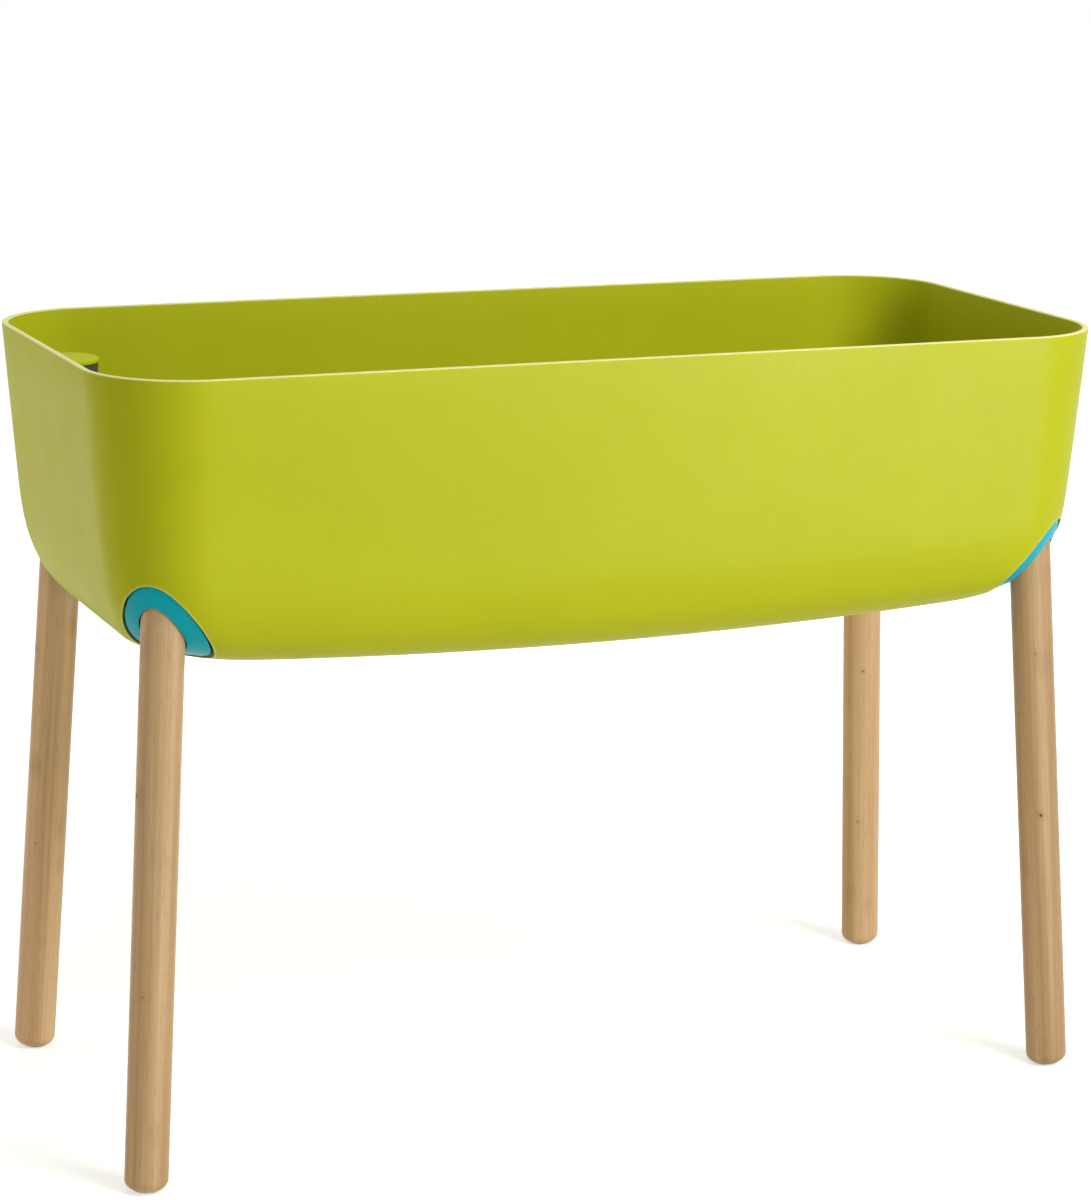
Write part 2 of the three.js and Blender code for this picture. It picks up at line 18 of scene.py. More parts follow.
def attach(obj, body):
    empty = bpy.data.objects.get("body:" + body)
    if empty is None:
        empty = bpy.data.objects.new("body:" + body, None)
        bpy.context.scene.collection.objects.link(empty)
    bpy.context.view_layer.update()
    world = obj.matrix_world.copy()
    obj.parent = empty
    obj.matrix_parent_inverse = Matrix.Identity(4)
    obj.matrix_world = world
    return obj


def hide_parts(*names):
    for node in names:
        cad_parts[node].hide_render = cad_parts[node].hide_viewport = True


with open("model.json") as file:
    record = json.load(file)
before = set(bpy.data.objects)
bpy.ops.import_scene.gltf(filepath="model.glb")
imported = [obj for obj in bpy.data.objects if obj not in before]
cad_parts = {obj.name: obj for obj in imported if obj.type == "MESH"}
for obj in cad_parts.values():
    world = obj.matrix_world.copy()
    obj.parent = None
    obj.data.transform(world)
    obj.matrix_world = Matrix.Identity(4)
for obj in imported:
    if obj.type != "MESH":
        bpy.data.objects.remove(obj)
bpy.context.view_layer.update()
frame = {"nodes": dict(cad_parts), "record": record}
scene = bpy.context.scene

# ---- Sizes in millimetres. Drafts, tapers and leans are a width for each unit of height ----

TUB_LENGTH, TUB_WIDTH, RIM_HEIGHT, TUB_DEPTH = 800, 370, 595, 225
WALL, RIM_ROUNDING, CORNER_RADIUS, WALL_DRAFT = 5, 1.2, 75, 0.079
BELLY_RISE, CURVE_POWER, CORNER_SPREAD = 17.5, 2.7, 0.5
END_CURVE_HEIGHT, END_CURVE_DEPTH = 104, 46
SIDE_CURVE_HEIGHT, SIDE_CURVE_DEPTH = 80, 60
HALF_LENGTH, HALF_WIDTH, BELLY_HEIGHT = TUB_LENGTH / 2, TUB_WIDTH / 2, RIM_HEIGHT - TUB_DEPTH
LEAST_STRAIGHT_SIDE, BOSS_ROUNDING, POCKET_EDGE = 1, 2, 0.9

LEG_RADIUS, LEG_INSET_X, LEG_INSET_Y = 16, 48.8, 45.2
LEG_LEAN_X, LEG_LEAN_Y, SOCKET_LEVEL, FOOT_ROUNDING = 0.0579, 0.0525, 50, 7.5
GLIDE_RADIUS, GLIDE_THICKNESS, GLIDE_DOME, GLIDE_FLAT = 9.5, 1.5, 0.9, 0.25
NAIL_RADIUS, NAIL_LENGTH, LEG_CHAMFER = 1, 12, 1

POCKET_RISE, SOCKET_TOP_RADIUS, SOCKET_TAPER = 88, 20.6, 0.25
SOCKET_REVEAL, SOCKET_PLATE, SOCKET_TOP, SLEEVE_WALL = 1.7, 3.5, 5, 3.2
SOCKET_TOP_OPENING, PLATE_RECESS, BORE_GAP = 10, 1.4, 1.0
PLATE_EDGE, BORE_EDGE = 0.7, 0.5
FIN_COUNT, FIN_THICKNESS, POCKET_WALL = 6, 2.4, 4.5

BOLT_RADIUS, BOLT_IN_LEG, BOLT_IN_NUT = 4, 42, 7
SEAL_RADIUS, SEAL_THICKNESS, WASHER_RADIUS, WASHER_THICKNESS = 11, 2, 10, 1.6
NUT_SIDES, NUT_ACROSS, NUT_HEIGHT, NUT_DOME, NUT_DOME_INSET = 6, 15, 6.5, 5, 1.4
NUT_CHAMFER_HEIGHT, NUT_CHAMFER_RUN, NUT_TOP_INSET, NUT_FOOT_INSET = 0.7, 0.4, 0.9, 0.7

SOIL_DEPTH, FLOOR_THICKNESS, FLOOR_SKIRT, FLOOR_CLEARANCE = 162, 3, 10, 2.5
FOOT_TOP, FOOT_BOTTOM, FLOOR_FOOT_X, FLOOR_FOOT_Y = 9, 7, 290, 60
SLOT_WIDTH, SLOT_LENGTH, SLOT_PITCH, SLOT_INSET, FLOOR_ROUNDING = 3.5, 32, 58, 44, 0.8

BASKET_X, BASKET_RADIUS, BASKET_TAPER, BASKET_WALL = 185, 42, 0.12, 2.2
BASKET_FLANGE, BASKET_SLOTS, BASKET_SLOT_WIDTH = 5, 8, 3.5
BASKET_SLOT_HEIGHT, BASKET_SLOT_START = 15, 13

CAP_BELOW_RIM, CAP_RADIUS, CAP_THICKNESS, CAP_TO_WALL = 23.5, 25.5, 3.2, 8
CAP_SKIRT_DEPTH, CAP_SKIRT_WALL, CAP_OVER_MOUTH = 8, 1.8, 0.5
MOUTH_HEIGHT, FUNNEL_HEIGHT, FUNNEL_EASE, TUBE_RADIUS, TUBE_WALL = 10, 56, 0.35, 12, 2
TUBE_TO_POCKET, TUBE_INWARD, TUBE_SIDEWAYS, TUBE_ABOVE_FLOOR = 5, 11.7, 2.3, 16
TUBE_LIP, COLLAR_WIDTH, COLLAR_THICKNESS = 2.6, 3.5, 2
TUBE_SLOT_HEIGHT, TUBE_SLOT_WIDTH = 8, 3.5
FLOAT_RADIUS, FLOAT_HEIGHT, ROD_RADIUS, ROD_BELOW_CAP = 8.6, 14, 1.75, 36
GUIDE_RISE, GUIDE_HUB, GUIDE_THICKNESS, GUIDE_SPOKE, GUIDE_SPOKES = 76, 4.2, 3, 2, 3

DRAIN_RADIUS, DRAIN_BOSS, DRAIN_STEP = 12, 25, 1.5
DRAIN_FLANGE, DRAIN_FLANGE_THICKNESS, DRAIN_WASHER = 19, 3, 2
PLUG_TAPER, PLUG_REACH, TAB_WIDTH, TAB_HEIGHT, TAB_THICKNESS = 0.03, 5, 22, 11, 3.4
TAB_CHAMFER, TAB_FLAT = 0.5, 0.7

# Gaps between pieces that rest on or turn in each other, and how far a cutter or a part that is
# joined on runs past a face: far, a little, or by a hair.
SEAT, TURNING, BEYOND, OVERLAP, HAIR = 0.3, 0.3, 30, 1, 0.01
METRES = 0.001

# Sides of round shapes, from large to small, steps of curves, and steps of an outline's corners,
# long sides and short sides.
FINE, ROUND, SMALL, TINY, LEG_SIDES, EDGE_SIDES = 96, 64, 48, 32, 72, 144
CURVE_STEPS, WALL_STEPS, RIM_STEPS, SOFT_STEPS = 28, 6, 5, 4
LEG_STEPS, FOOT_STEPS, DOME_STEPS, SLAB_STEPS, FUNNEL_STEPS = 24, 12, 8, 4, 16
TUB_OUTLINE, SLAB_OUTLINE, SLOT_OUTLINE = (24, 40, 12), (16, 2, 2), (6, 1, 1)
BELLY_RINGS, SETTLING_ROUNDS = (0.08, 0.2, 0.32, 0.44, 0.56, 0.68, 0.8, 0.9), 6

# Points closer than MERGED are one. A face is level when its normal is this steep, and it lies in
# a smooth skin when it is this near to it and turned alike. Sharper edges than CREASE stay sharp.
MERGED, LEVEL, SKIN_GAP, SKIN_ALIKE, CREASE, WOOD_CREASE = 1e-4, 0.99999, 0.02, 0.8, 32, 50

# ---- Solids ----


def solid(verts, faces):
    """A closed mesh object with its doubled points merged and its faces turned outwards."""
    mesh = bpy.data.meshes.new("work")
    mesh.from_pydata([tuple(map(float, v)) for v in verts], [], faces)
    bm = bmesh.new()
    bm.from_mesh(mesh)
    bmesh.ops.remove_doubles(bm, verts=bm.verts, dist=MERGED)
    bmesh.ops.recalc_face_normals(bm, faces=bm.faces)
    bm.to_mesh(mesh)
    bm.free()
    obj = bpy.data.objects.new("work", mesh)
    scene.collection.objects.link(obj)
    return obj


def ring_faces(rows, count, closed=False):
    """Quads between rows of equally many points."""
    faces = []
    for row in range(rows if closed else rows - 1):
        low, high = row * count, ((row + 1) % rows) * count
        for i in range(count):
            j = (i + 1) % count
            faces.append((low + i, low + j, high + j, high + i))
    return faces


def loft(rings, low, high):
    """A solid through rings of points, closed by a fan to a point at each end."""
    count = len(rings[0])
    verts = np.vstack([*rings, [low], [high]])
    faces = ring_faces(len(rings), count)
    end, top = len(rings) * count, (len(rings) - 1) * count
    for i in range(count):
        j = (i + 1) % count
        faces.append((end, j, i))
        faces.append((end + 1, top + i, top + j))
    return solid(verts, faces)


def circle(radius, z, segments, x=0.0, y=0.0):
    turn = np.arange(segments) * 2 * math.pi / segments
    east, north = x + radius * np.cos(turn), y + radius * np.sin(turn)
    return np.column_stack([east, north, np.full(segments, z)])


def revolve(profile, segments, closed=False):
    """A solid of revolution about +Z. A closed profile is a ring, an open one ends on the axis."""
    rows = [circle(radius, z, segments) for radius, z in profile]
    return solid(np.vstack(rows), ring_faces(len(rows), segments, closed))


def quarter(steps, first=0):
    """Angles from nothing to a right angle in equal steps."""
    return [step / steps * math.pi / 2 for step in range(first, steps + 1)]


def softened(points, cuts, closed=False):
    """A profile with rounded corners. Each rounding starts its own cut away from the corner."""
    points = [np.array(p, float) for p in points]
    made = []
    for i, (point, cut) in enumerate(zip(points, cuts)):
        if not cut or (not closed and i in (0, len(points) - 1)):
            made.append(tuple(point))
            continue
        before, after = points[i - 1] - point, points[(i + 1) % len(points)] - point
        a = point + before * cut / np.linalg.norm(before)
        b = point + after * cut / np.linalg.norm(after)
        for step in range(SOFT_STEPS + 1):
            t = step / SOFT_STEPS
            made.append(tuple((1 - t) ** 2 * a + 2 * t * (1 - t) * point + t * t * b))
    return made


def block(size, centre):
    """A box of a size about its centre."""
    corners = [(x, y, z) for z in (-1, 1) for y in (-1, 1) for x in (-1, 1)]
    verts = [[c * s / 2 + m for c, s, m in zip(corner, size, centre)] for corner in corners]
    faces = [(0, 1, 3, 2), (4, 6, 7, 5), (0, 4, 5, 1), (2, 3, 7, 6), (0, 2, 6, 4), (1, 5, 7, 3)]
    return solid(verts, faces)


def disc(radius, low, high, segments=ROUND):
    return revolve([(0, low), (radius, low), (radius, high), (0, high)], segments)


def flat_ring(inner, outer, low, high):
    """A ring with its outer edges softened."""
    profile = [(inner, low), (outer, low), (outer, high), (inner, high)]
    return revolve(softened(profile, (0, 0.3, 0.3, 0), closed=True), ROUND, closed=True)


def moved(obj, matrix):
    obj.data.transform(matrix)
    return obj


def shifted(obj, x, y, z=0.0):
    return moved(obj, Matrix.Translation((x, y, z)))


def turned(obj, angle):
    return moved(obj, Matrix.Rotation(angle, 4, "Z"))


def copy_of(obj):
    made = bpy.data.objects.new("work", obj.data.copy())
    scene.collection.objects.link(made)
    return made


def discard(obj):
    mesh = obj.data
    bpy.data.objects.remove(obj)
    bpy.data.meshes.remove(mesh)


def combine(base, tool, operation):
    """base with a tool taken off it, added to it or met with it. The tool is used up."""
    modifier = base.modifiers.new("combine", "BOOLEAN")
    modifier.operation = operation
    modifier.solver = "MANIFOLD"
    modifier.object = tool
    graph = bpy.context.evaluated_depsgraph_get()
    mesh = bpy.data.meshes.new_from_object(base.evaluated_get(graph))
    old = base.data
    base.modifiers.clear()
    base.data = mesh
    bpy.data.meshes.remove(old)
    discard(tool)
    return base


def cut(base, tool):
    return combine(base, tool, "DIFFERENCE")


def join(base, tool):
    return combine(base, tool, "UNION")


def meet(base, tool):
    return combine(base, tool, "INTERSECT")


# ---- The tub's form ----


def arch_rise(x, level, inset):
    """How much higher than in the middle a ring of the tub lies at x."""
    depth = (RIM_HEIGHT - level) / (TUB_DEPTH - inset)
    return BELLY_RISE * (x / HALF_LENGTH) ** 2 * depth**2


def drawn_in(level, inset, height, depth):
    """How far a curve of that height and depth has drawn the wall in at a level."""
    share = min(max((BELLY_HEIGHT + height - level) / (height - inset), 0), 1) ** CURVE_POWER
    return (depth - inset) * (1 - (1 - share) ** (1 / CURVE_POWER))


def section(level, inset):
    """Half length, half width and corner radius of the tub at a level, moved in by an inset."""
    slope = WALL_DRAFT * (RIM_HEIGHT - level) + inset
    endways = drawn_in(level, inset, END_CURVE_HEIGHT, END_CURVE_DEPTH)
    sideways = drawn_in(level, inset, SIDE_CURVE_HEIGHT, SIDE_CURVE_DEPTH)
    length, width = HALF_LENGTH - slope - endways, HALF_WIDTH - slope - sideways
    radius = CORNER_RADIUS - slope + CORNER_SPREAD * endways
    return length, width, min(radius, width - LEAST_STRAIGHT_SIDE)


def outline(length, width, radius, steps):
    """Points of a rectangle with round corners, anticlockwise from the front right corner."""
    points = []
    corner_steps, long_steps, short_steps = steps
    straight_x, straight_y = length - radius, width - radius
    for turn, (sx, sy) in enumerate(((1, -1), (1, 1), (-1, 1), (-1, -1))):
        for step in range(corner_steps + 1):
            angle = (turn - 1 + step / corner_steps) * math.pi / 2
            x = sx * straight_x + radius * math.cos(angle)
            points.append((x, sy * straight_y + radius * math.sin(angle)))
        if turn % 2:
            for step in range(1, long_steps):
                points.append((sx * straight_x * (1 - 2 * step / long_steps), sy * width))
        else:
            for step in range(1, short_steps):
                points.append((sx * length, sy * straight_y * (1 - 2 * step / short_steps)))
    return np.array(points)


def level_ring(level, inset, scale=1.0):
    """The tub's outline at a level, lifted by the belly's arch."""
    points = outline(*section(level, inset), TUB_OUTLINE) * scale
    return np.column_stack([points, level + arch_rise(points[:, 0], level, inset)])


def form_rings(inset):
    """Rings from the middle of the belly up to just under the rim's rounding."""
    floor_level, curve_top = BELLY_HEIGHT + inset, BELLY_HEIGHT + END_CURVE_HEIGHT
    rings = [level_ring(floor_level, inset, scale) for scale in BELLY_RINGS]
    for angle in reversed(quarter(CURVE_STEPS)):
        share = math.sin(angle) ** (2 / CURVE_POWER)
        rings.append(level_ring(curve_top - share * (curve_top - floor_level), inset))
    top = RIM_HEIGHT - RIM_ROUNDING
    for step in range(1, WALL_STEPS + 1):
        rings.append(level_ring(curve_top + (top - curve_top) * step / WALL_STEPS, inset))
    return rings


def rim_rings():
    """The rounding of the rim, from the outside over the top to the inside."""
    outside, inside = [], []
    for angle in quarter(RIM_STEPS, 1):
        level = RIM_HEIGHT - RIM_ROUNDING + RIM_ROUNDING * math.sin(angle)
        run = RIM_ROUNDING * (1 - math.cos(angle))
        outside.append(level_ring(level, run))
        inside.append(level_ring(level, WALL - run))
    return outside + inside[::-1]


def full_form(inset):
    """The tub filled up to its rim, with its skin moved in by an inset."""
    rings = form_rings(inset) + [level_ring(RIM_HEIGHT, inset)]
    return loft(rings, (0, 0, BELLY_HEIGHT + inset), (0, 0, RIM_HEIGHT))


def inner_floor(x):
    """Height of the belly inside the tub at x."""
    return BELLY_HEIGHT + WALL + arch_rise(x, BELLY_HEIGHT + WALL, WALL)


def inner_section(height, clearance):
    """The tub's inside at a height of its ends, less a clearance."""
    level = height
    for _ in range(SETTLING_ROUNDS):
        level = height - arch_rise(HALF_LENGTH, level, WALL)
    return [size - clearance for size in section(level, WALL)]


class Surface:
    """The tub's skin, for finding where lines cross it and which way it faces."""

    def __init__(self, obj):
        mesh = obj.data
        self.co = [v.co.copy() for v in mesh.vertices]
        self.normals = [v.normal.copy() for v in mesh.vertices]
        self.faces = [tuple(p.vertices) for p in mesh.polygons]
        self.tree = BVHTree.FromPolygons(self.co, self.faces)

    def normal_at(self, point, face):
        corners = self.faces[face]
        weights = poly_3d_calc([self.co[i] for i in corners], point)
        total = Vector((0, 0, 0))
        for i, weight in zip(corners, weights):
            total += self.normals[i] * weight
        return total.normalized()

    def nearest(self, point):
        place, _, face, gap = self.tree.find_nearest(point)
        return self.normal_at(place, face), gap

    def crossing(self, start, direction):
        place, _, face, _ = self.tree.ray_cast(start, direction)
        return place, self.normal_at(place, face)


# ---- Places along the legs ----

LEG_AXIS_Z = 1 / math.hypot(LEG_LEAN_X, LEG_LEAN_Y, 1)
DOME_RADIUS = (GLIDE_RADIUS**2 + GLIDE_DOME**2) / (2 * GLIDE_DOME)
FOOT_TIP = DOME_RADIUS * (1 - LEG_AXIS_Z) - GLIDE_FLAT
ANCHOR = BELLY_HEIGHT + SOCKET_LEVEL


def along_leg(height):
    """How far up a leg's own axis a height lies."""
    return (height - FOOT_TIP) / LEG_AXIS_Z


def leg_axis_at(height, sx, sy):
    rise = height - ANCHOR
    x = sx * (HALF_LENGTH - LEG_INSET_X - LEG_LEAN_X * rise)
    y = sy * (HALF_WIDTH - LEG_INSET_Y - LEG_LEAN_Y * rise)
    return Vector((x, y, height))


def leg_frame(sx, sy):
    """The place of a leg's foot, turned so that +Z runs up the leg."""
    up = leg_axis_at(ANCHOR, sx, sy) - leg_axis_at(FOOT_TIP, sx, sy)
    turn = Vector((0, 0, 1)).rotation_difference(up).to_matrix().to_4x4()
    return Matrix.Translation(leg_axis_at(FOOT_TIP, sx, sy)) @ turn


CORNERS = {
    "front_left": (-1, -1), "front_right": (1, -1),
    "rear_left": (-1, 1), "rear_right": (1, 1),
}
FRAMES = {name: leg_frame(*sides) for name, sides in CORNERS.items()}
POCKET_TOP = along_leg(BELLY_HEIGHT + POCKET_RISE)
SOCKET_END = POCKET_TOP - SEAT
LEG_TOP = SOCKET_END - SOCKET_TOP - SEAT
LEG_FOOT = GLIDE_THICKNESS + SEAT
CONE_FOOT = along_leg(BELLY_HEIGHT - BEYOND)
SEAL_FOOT = POCKET_TOP + POCKET_WALL + SEAT
WASHER_FOOT = SEAL_FOOT + SEAL_THICKNESS + SEAT
NUT_FOOT = WASHER_FOOT + WASHER_THICKNESS + SEAT
BOLT_TOP = NUT_FOOT + BOLT_IN_NUT
BOLT_HOLE = BOLT_RADIUS + TURNING


def cone_radius(height, extra):
    return SOCKET_TOP_RADIUS + extra + SOCKET_TAPER * (SOCKET_END - height)


def socket_cone(extra, top, matrix, soft=0.0):
    """The cone about a leg that pockets, bosses and sockets are cut to, wider by an extra."""
    foot, head = cone_radius(CONE_FOOT, extra), cone_radius(top, extra)
    profile = [(0, CONE_FOOT), (foot, CONE_FOOT), (head, top), (0, top)]
    return moved(revolve(softened(profile, (0, 0, soft, 0)), FINE), matrix)


def edge_cutter(surface, matrix, low, high, outwards, radius):
    """A ring that rounds the edge where a cone or bore about the leg leaves the tub's skin.

    low and high are [radius, height] of its wall, and outwards is 1 where the material lies
    outside that wall and -1 where it lies inside it. Its rounding is a curve in three steps,
    which runs past the skin and the wall by an overshoot, and its far corner lies in the air.
    """
    rows, overshoot, into_air = [], 0.7, 1.5
    for i in range(EDGE_SIDES):
        angle = i * 2 * math.pi / EDGE_SIDES
        spoke = Vector((math.cos(angle), math.sin(angle), 0))
        start = matrix @ (spoke * low[0] + Vector((0, 0, low[1])))
        end = matrix @ (spoke * high[0] + Vector((0, 0, high[1])))
        inward = (end - start).normalized()
        place, normal = surface.crossing(start, inward)
        away = (matrix.to_3x3() @ spoke) * outwards
        along = (away - normal * away.dot(normal)).normalized()
        a, b = place + along * radius, place + inward * radius
        first = (a * 4 + place * 4 + b) / 9
        second = (a + place * 4 + b * 4) / 9
        air = place - (along + inward) * radius * into_air
        before, after = a + (a - first) * overshoot, b + (b - second) * overshoot
        rows.append([before, first, second, after, air])
    points = [point for row in rows for point in row]
    return solid(points, ring_faces(EDGE_SIDES, len(rows[0]), closed=True))


# ---- Pieces ----


def sharpen(obj, angle):
    """Smooth faces, and sharp edges where two faces meet at more than an angle in degrees."""
    bm = bmesh.new()
    bm.from_mesh(obj.data)
    bmesh.ops.dissolve_degenerate(bm, dist=MERGED, edges=bm.edges)
    for face in bm.faces:
        face.smooth = True
    for edge in bm.edges:
        if len(edge.link_faces) == 2 and edge.calc_face_angle() > math.radians(angle):
            edge.smooth = False
    bm.to_mesh(obj.data)
    bm.free()


def set_normals(obj, surfaces):
    """Keeps level faces flat, and gives faces that lie in a smooth skin that skin's normals."""
    mesh = obj.data
    normals = np.zeros(len(mesh.loops) * 3, np.float32)
    mesh.corner_normals.foreach_get("vector", normals)
    normals = normals.reshape(-1, 3)
    for face in mesh.polygons:
        if abs(face.normal.z) > LEVEL:
            for loop in face.loop_indices:
                normals[loop] = face.normal
            continue
        for surface in surfaces:
            found = [surface.nearest(mesh.vertices[i].co) for i in face.vertices]
            near = all(gap < SKIN_GAP for _, gap in found)
            if near and all(normal.dot(face.normal) > SKIN_ALIKE for normal, _ in found):
                for loop, (normal, _) in zip(face.loop_indices, found):
                    normals[loop] = normal
                break
    mesh.normals_split_custom_set(normals.tolist())


BODIES = frame["record"]["behaviour"]["bodies"]
BODY_OF = {node: body for body, nodes in BODIES.items() for node in nodes}


def piece(obj, name, node, material, angle=CREASE, surfaces=()):
    """Finishes a piece: smooth faces, metres, its finish, and the body that it rides on."""
    sharpen(obj, angle)
    set_normals(obj, surfaces)
    obj.data.transform(Matrix.Scale(METRES, 4))
    obj.name = name
    obj.data.name = name
    obj.data.materials.clear()
    obj.data.materials.append(material)
    for face in obj.data.polygons:
        face.material_index = 0
    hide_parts(node)
    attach(obj, BODY_OF[node])


# ---- Materials ----


def srgb(red, green, blue):
    """A linear colour from 0 to 255 values as a screen shows them."""
    made = []
    for value in (red, green, blue):
        c = value / 255
        made.append(c / 12.92 if c <= 0.04045 else ((c + 0.055) / 1.055) ** 2.4)
    return (*made, 1.0)


class Nodes:
    """A node tree of a material or the world, written line by line."""

    def __init__(self, owner):
        owner.use_nodes = True
        self.nodes = owner.node_tree.nodes
        self.links = owner.node_tree.links

    def add(self, kind, **values):
        node = self.nodes.new("ShaderNode" + kind)
        for key, value in values.items():
            if hasattr(node, key):
                setattr(node, key, value)
            else:
                self.put(node.inputs[key.replace("_", " ")], value)
        return node

    def put(self, socket, value):
        if isinstance(value, bpy.types.NodeSocket):
            self.links.new(value, socket)
        else:
            socket.default_value = value

    def noise(self, vector, scale, detail, roughness=0.5):
        made = self.add("TexNoise", Vector=vector, Scale=scale, Detail=detail, Roughness=roughness)
        return made.outputs["Fac"]

    def span(self, value, low, high, to_low, to_high):
        made = self.add("MapRange")
        for socket, given in zip(made.inputs, (value, low, high, to_low, to_high)):
            self.put(socket, given)
        return made.outputs[0]

    def math(self, operation, a, b=0.0, c=0.0):
        made = self.add("Math", operation=operation)
        for socket, given in zip(made.inputs, (a, b, c)):
            self.put(socket, given)
        return made.outputs[0]

    def mix(self, factor, a, b, blend="MIX"):
        made = self.add("Mix", data_type="RGBA", blend_type=blend)
        for socket, given in ((made.inputs[0], factor), (made.inputs[6], a), (made.inputs[7], b)):
            self.put(socket, given)
        return made.outputs[2]

    def blend(self, first, second, share):
        """Two values added, of which the first counts for a share."""
        first = self.math("MULTIPLY", first, share)
        return self.math("ADD", first, self.math("MULTIPLY", second, 1 - share))


class Shader(Nodes):
    """A material round one Principled shader."""

    def __init__(self, name):
        self.material = bpy.data.materials.new(name)
        super().__init__(self.material)
        self.main = self.nodes["Principled BSDF"]

    def set(self, **values):
        for key, value in values.items():
            self.put(self.main.inputs[key.replace("_", " ")], value)

    def place(self):
        """Coordinates in the piece, in metres."""
        return self.add("TexCoord").outputs["Object"]

    def bump(self, height, strength, distance):
        made = self.add("Bump", Height=height, Strength=strength, Distance=distance)
        self.put(self.main.inputs["Normal"], made.outputs[0])


def moulded(name, colour, darker, roughness, specular, grain, depth, sheen=0, painted_light_and_wear=None):
    """Moulded plastic: a fine spark-eroded grain, faint clouding and slightly uneven sheen.

    grain is the fine noise's scale and depth its height in metres.
    """
    s = Shader(name)
    where = s.place()
    cloud = s.noise(where, 9, 3)
    speck = s.noise(where, grain * 0.6, 1)
    shade = s.mix(s.span(s.blend(cloud, speck, 0.7), 0.35, 0.65, 0, 1), darker, colour)
    uneven = s.noise(where, 30, 4, 0.6)
    # A given function can add painted highlights, painted shade and wear to the base colour.
    s.set(Base_Color=painted_light_and_wear(s, where, shade) if painted_light_and_wear else shade)
    uneven = s.span(uneven, 0.3, 0.7, roughness - 0.03, roughness + 0.04)
    s.set(Roughness=uneven, Specular_IOR_Level=specular)
    if sheen:
        s.set(Sheen_Weight=sheen, Sheen_Roughness=0.18, Sheen_Tint=(1, 0.97, 0.9, 1))
    s.bump(s.noise(where, grain, 2, 0.6), 0.35, depth)
    return s.material


def from_pocket(s, where):
    """How far a point of the tub lies outside the cones of its leg pockets, in metres."""
    x, y, z = s.add("SeparateXYZ", Vector=where).outputs
    aside = []
    for value, middle, lean in (
        (x, HALF_LENGTH - LEG_INSET_X + LEG_LEAN_X * ANCHOR, LEG_LEAN_X),
        (y, HALF_WIDTH - LEG_INSET_Y + LEG_LEAN_Y * ANCHOR, LEG_LEAN_Y),
    ):
        axis = s.math("MULTIPLY_ADD", z, -lean, middle * METRES)
        off = s.math("SUBTRACT", s.math("ABSOLUTE", value), axis)
        aside.append(s.math("MULTIPLY", off, off))
    reach = s.math("SQRT", s.math("ADD", *aside))
    radius = SOCKET_TOP_RADIUS + SOCKET_TAPER * (SOCKET_END + FOOT_TIP / LEG_AXIS_Z)
    cone = s.math("MULTIPLY_ADD", z, -SOCKET_TAPER / LEG_AXIS_Z, radius * METRES)
    return s.math("SUBTRACT", reach, cone)


def painted_light_and_scuffs(s, where, shade):
    """Paler on the rim and round the leg pockets, as painted highlights, dark inside the pockets,
    as painted shade, and scuffed below the rim.
    """
    height = s.add("SeparateXYZ", Vector=where).outputs["Z"]
    ceiling = BELLY_HEIGHT + POCKET_RISE
    above = s.span(height, (ceiling - 1.5) * METRES, (ceiling - 0.5) * METRES, -0.1, 0.1)
    reach = s.math("MAXIMUM", from_pocket(s, where), above)
    # Painted highlight: a pale band round the pocket edges, where their rounding would catch the
    # light.
    edge = s.span(reach, 0.6 * METRES, 1.9 * METRES, 0.8, 0)
    shade = s.mix(edge, shade, srgb(212, 218, 120))
    # Painted shade: dark olive on the pocket walls just inside the gap round each socket.
    pocket_shade = s.span(reach, 0.05 * METRES, 0.25 * METRES, 0.85, 0)
    shade = s.mix(pocket_shade, shade, srgb(52, 58, 14))
    # Painted highlight: the top of the rim is made pale where light from above falls on its
    # rounding.
    rim = s.span(height, (RIM_HEIGHT - RIM_ROUNDING) * METRES, (RIM_HEIGHT - 0.3) * METRES, 0, 0.85)
    shade = s.mix(rim, shade, srgb(236, 235, 160))
    band = s.span(height, (RIM_HEIGHT - 45) * METRES, (RIM_HEIGHT - 8) * METRES, 0, 1)
    aslant = s.add("Mapping", Vector=where, Rotation=(0.5, 0.7, 0.3), Scale=(520, 520, 40))
    scuffs = s.span(s.noise(aslant.outputs[0], 1, 2), 0.68, 0.8, 0, 0.22)
    return s.mix(s.math("MULTIPLY", band, scuffs), shade, srgb(214, 216, 120))


# The tub's plastic, with painted highlights on its rim and pocket edges, painted shade in the
# pockets, and scuffs below the rim.
LIME = moulded(
    "lime_plastic", srgb(183, 188, 26), srgb(179, 184, 22), roughness=0.42, specular=0.08,
    grain=1400, depth=0.00006, sheen=0.15, painted_light_and_wear=painted_light_and_scuffs,
)
CAP_LIME = moulded(
    "cap_plastic", srgb(186, 196, 12), srgb(182, 192, 9), roughness=0.5, specular=0.08,
    grain=1700, depth=0.00006,
)
TURQUOISE = moulded(
    "turquoise_plastic", srgb(0, 174, 188), srgb(0, 168, 182), roughness=0.34, specular=0.1,
    grain=1700, depth=0.00005, sheen=0.3,
)
DARK = moulded(
    "dark_plastic", srgb(66, 70, 64), srgb(58, 62, 57), roughness=0.5, specular=0.4,
    grain=1100, depth=0.00008,
)
RED = moulded(
    "red_plastic", srgb(200, 54, 42), srgb(190, 46, 36), roughness=0.4, specular=0.4,
    grain=1500, depth=0.00005,
)
WHITE = moulded(
    "white_plastic", srgb(232, 230, 224), srgb(224, 222, 214), roughness=0.4, specular=0.4,
    grain=1500, depth=0.00005,
)
RUBBER = moulded(
    "black_rubber", srgb(40, 40, 40), srgb(30, 30, 30), roughness=0.75, specular=0.3,
    grain=900, depth=0.0001,
)


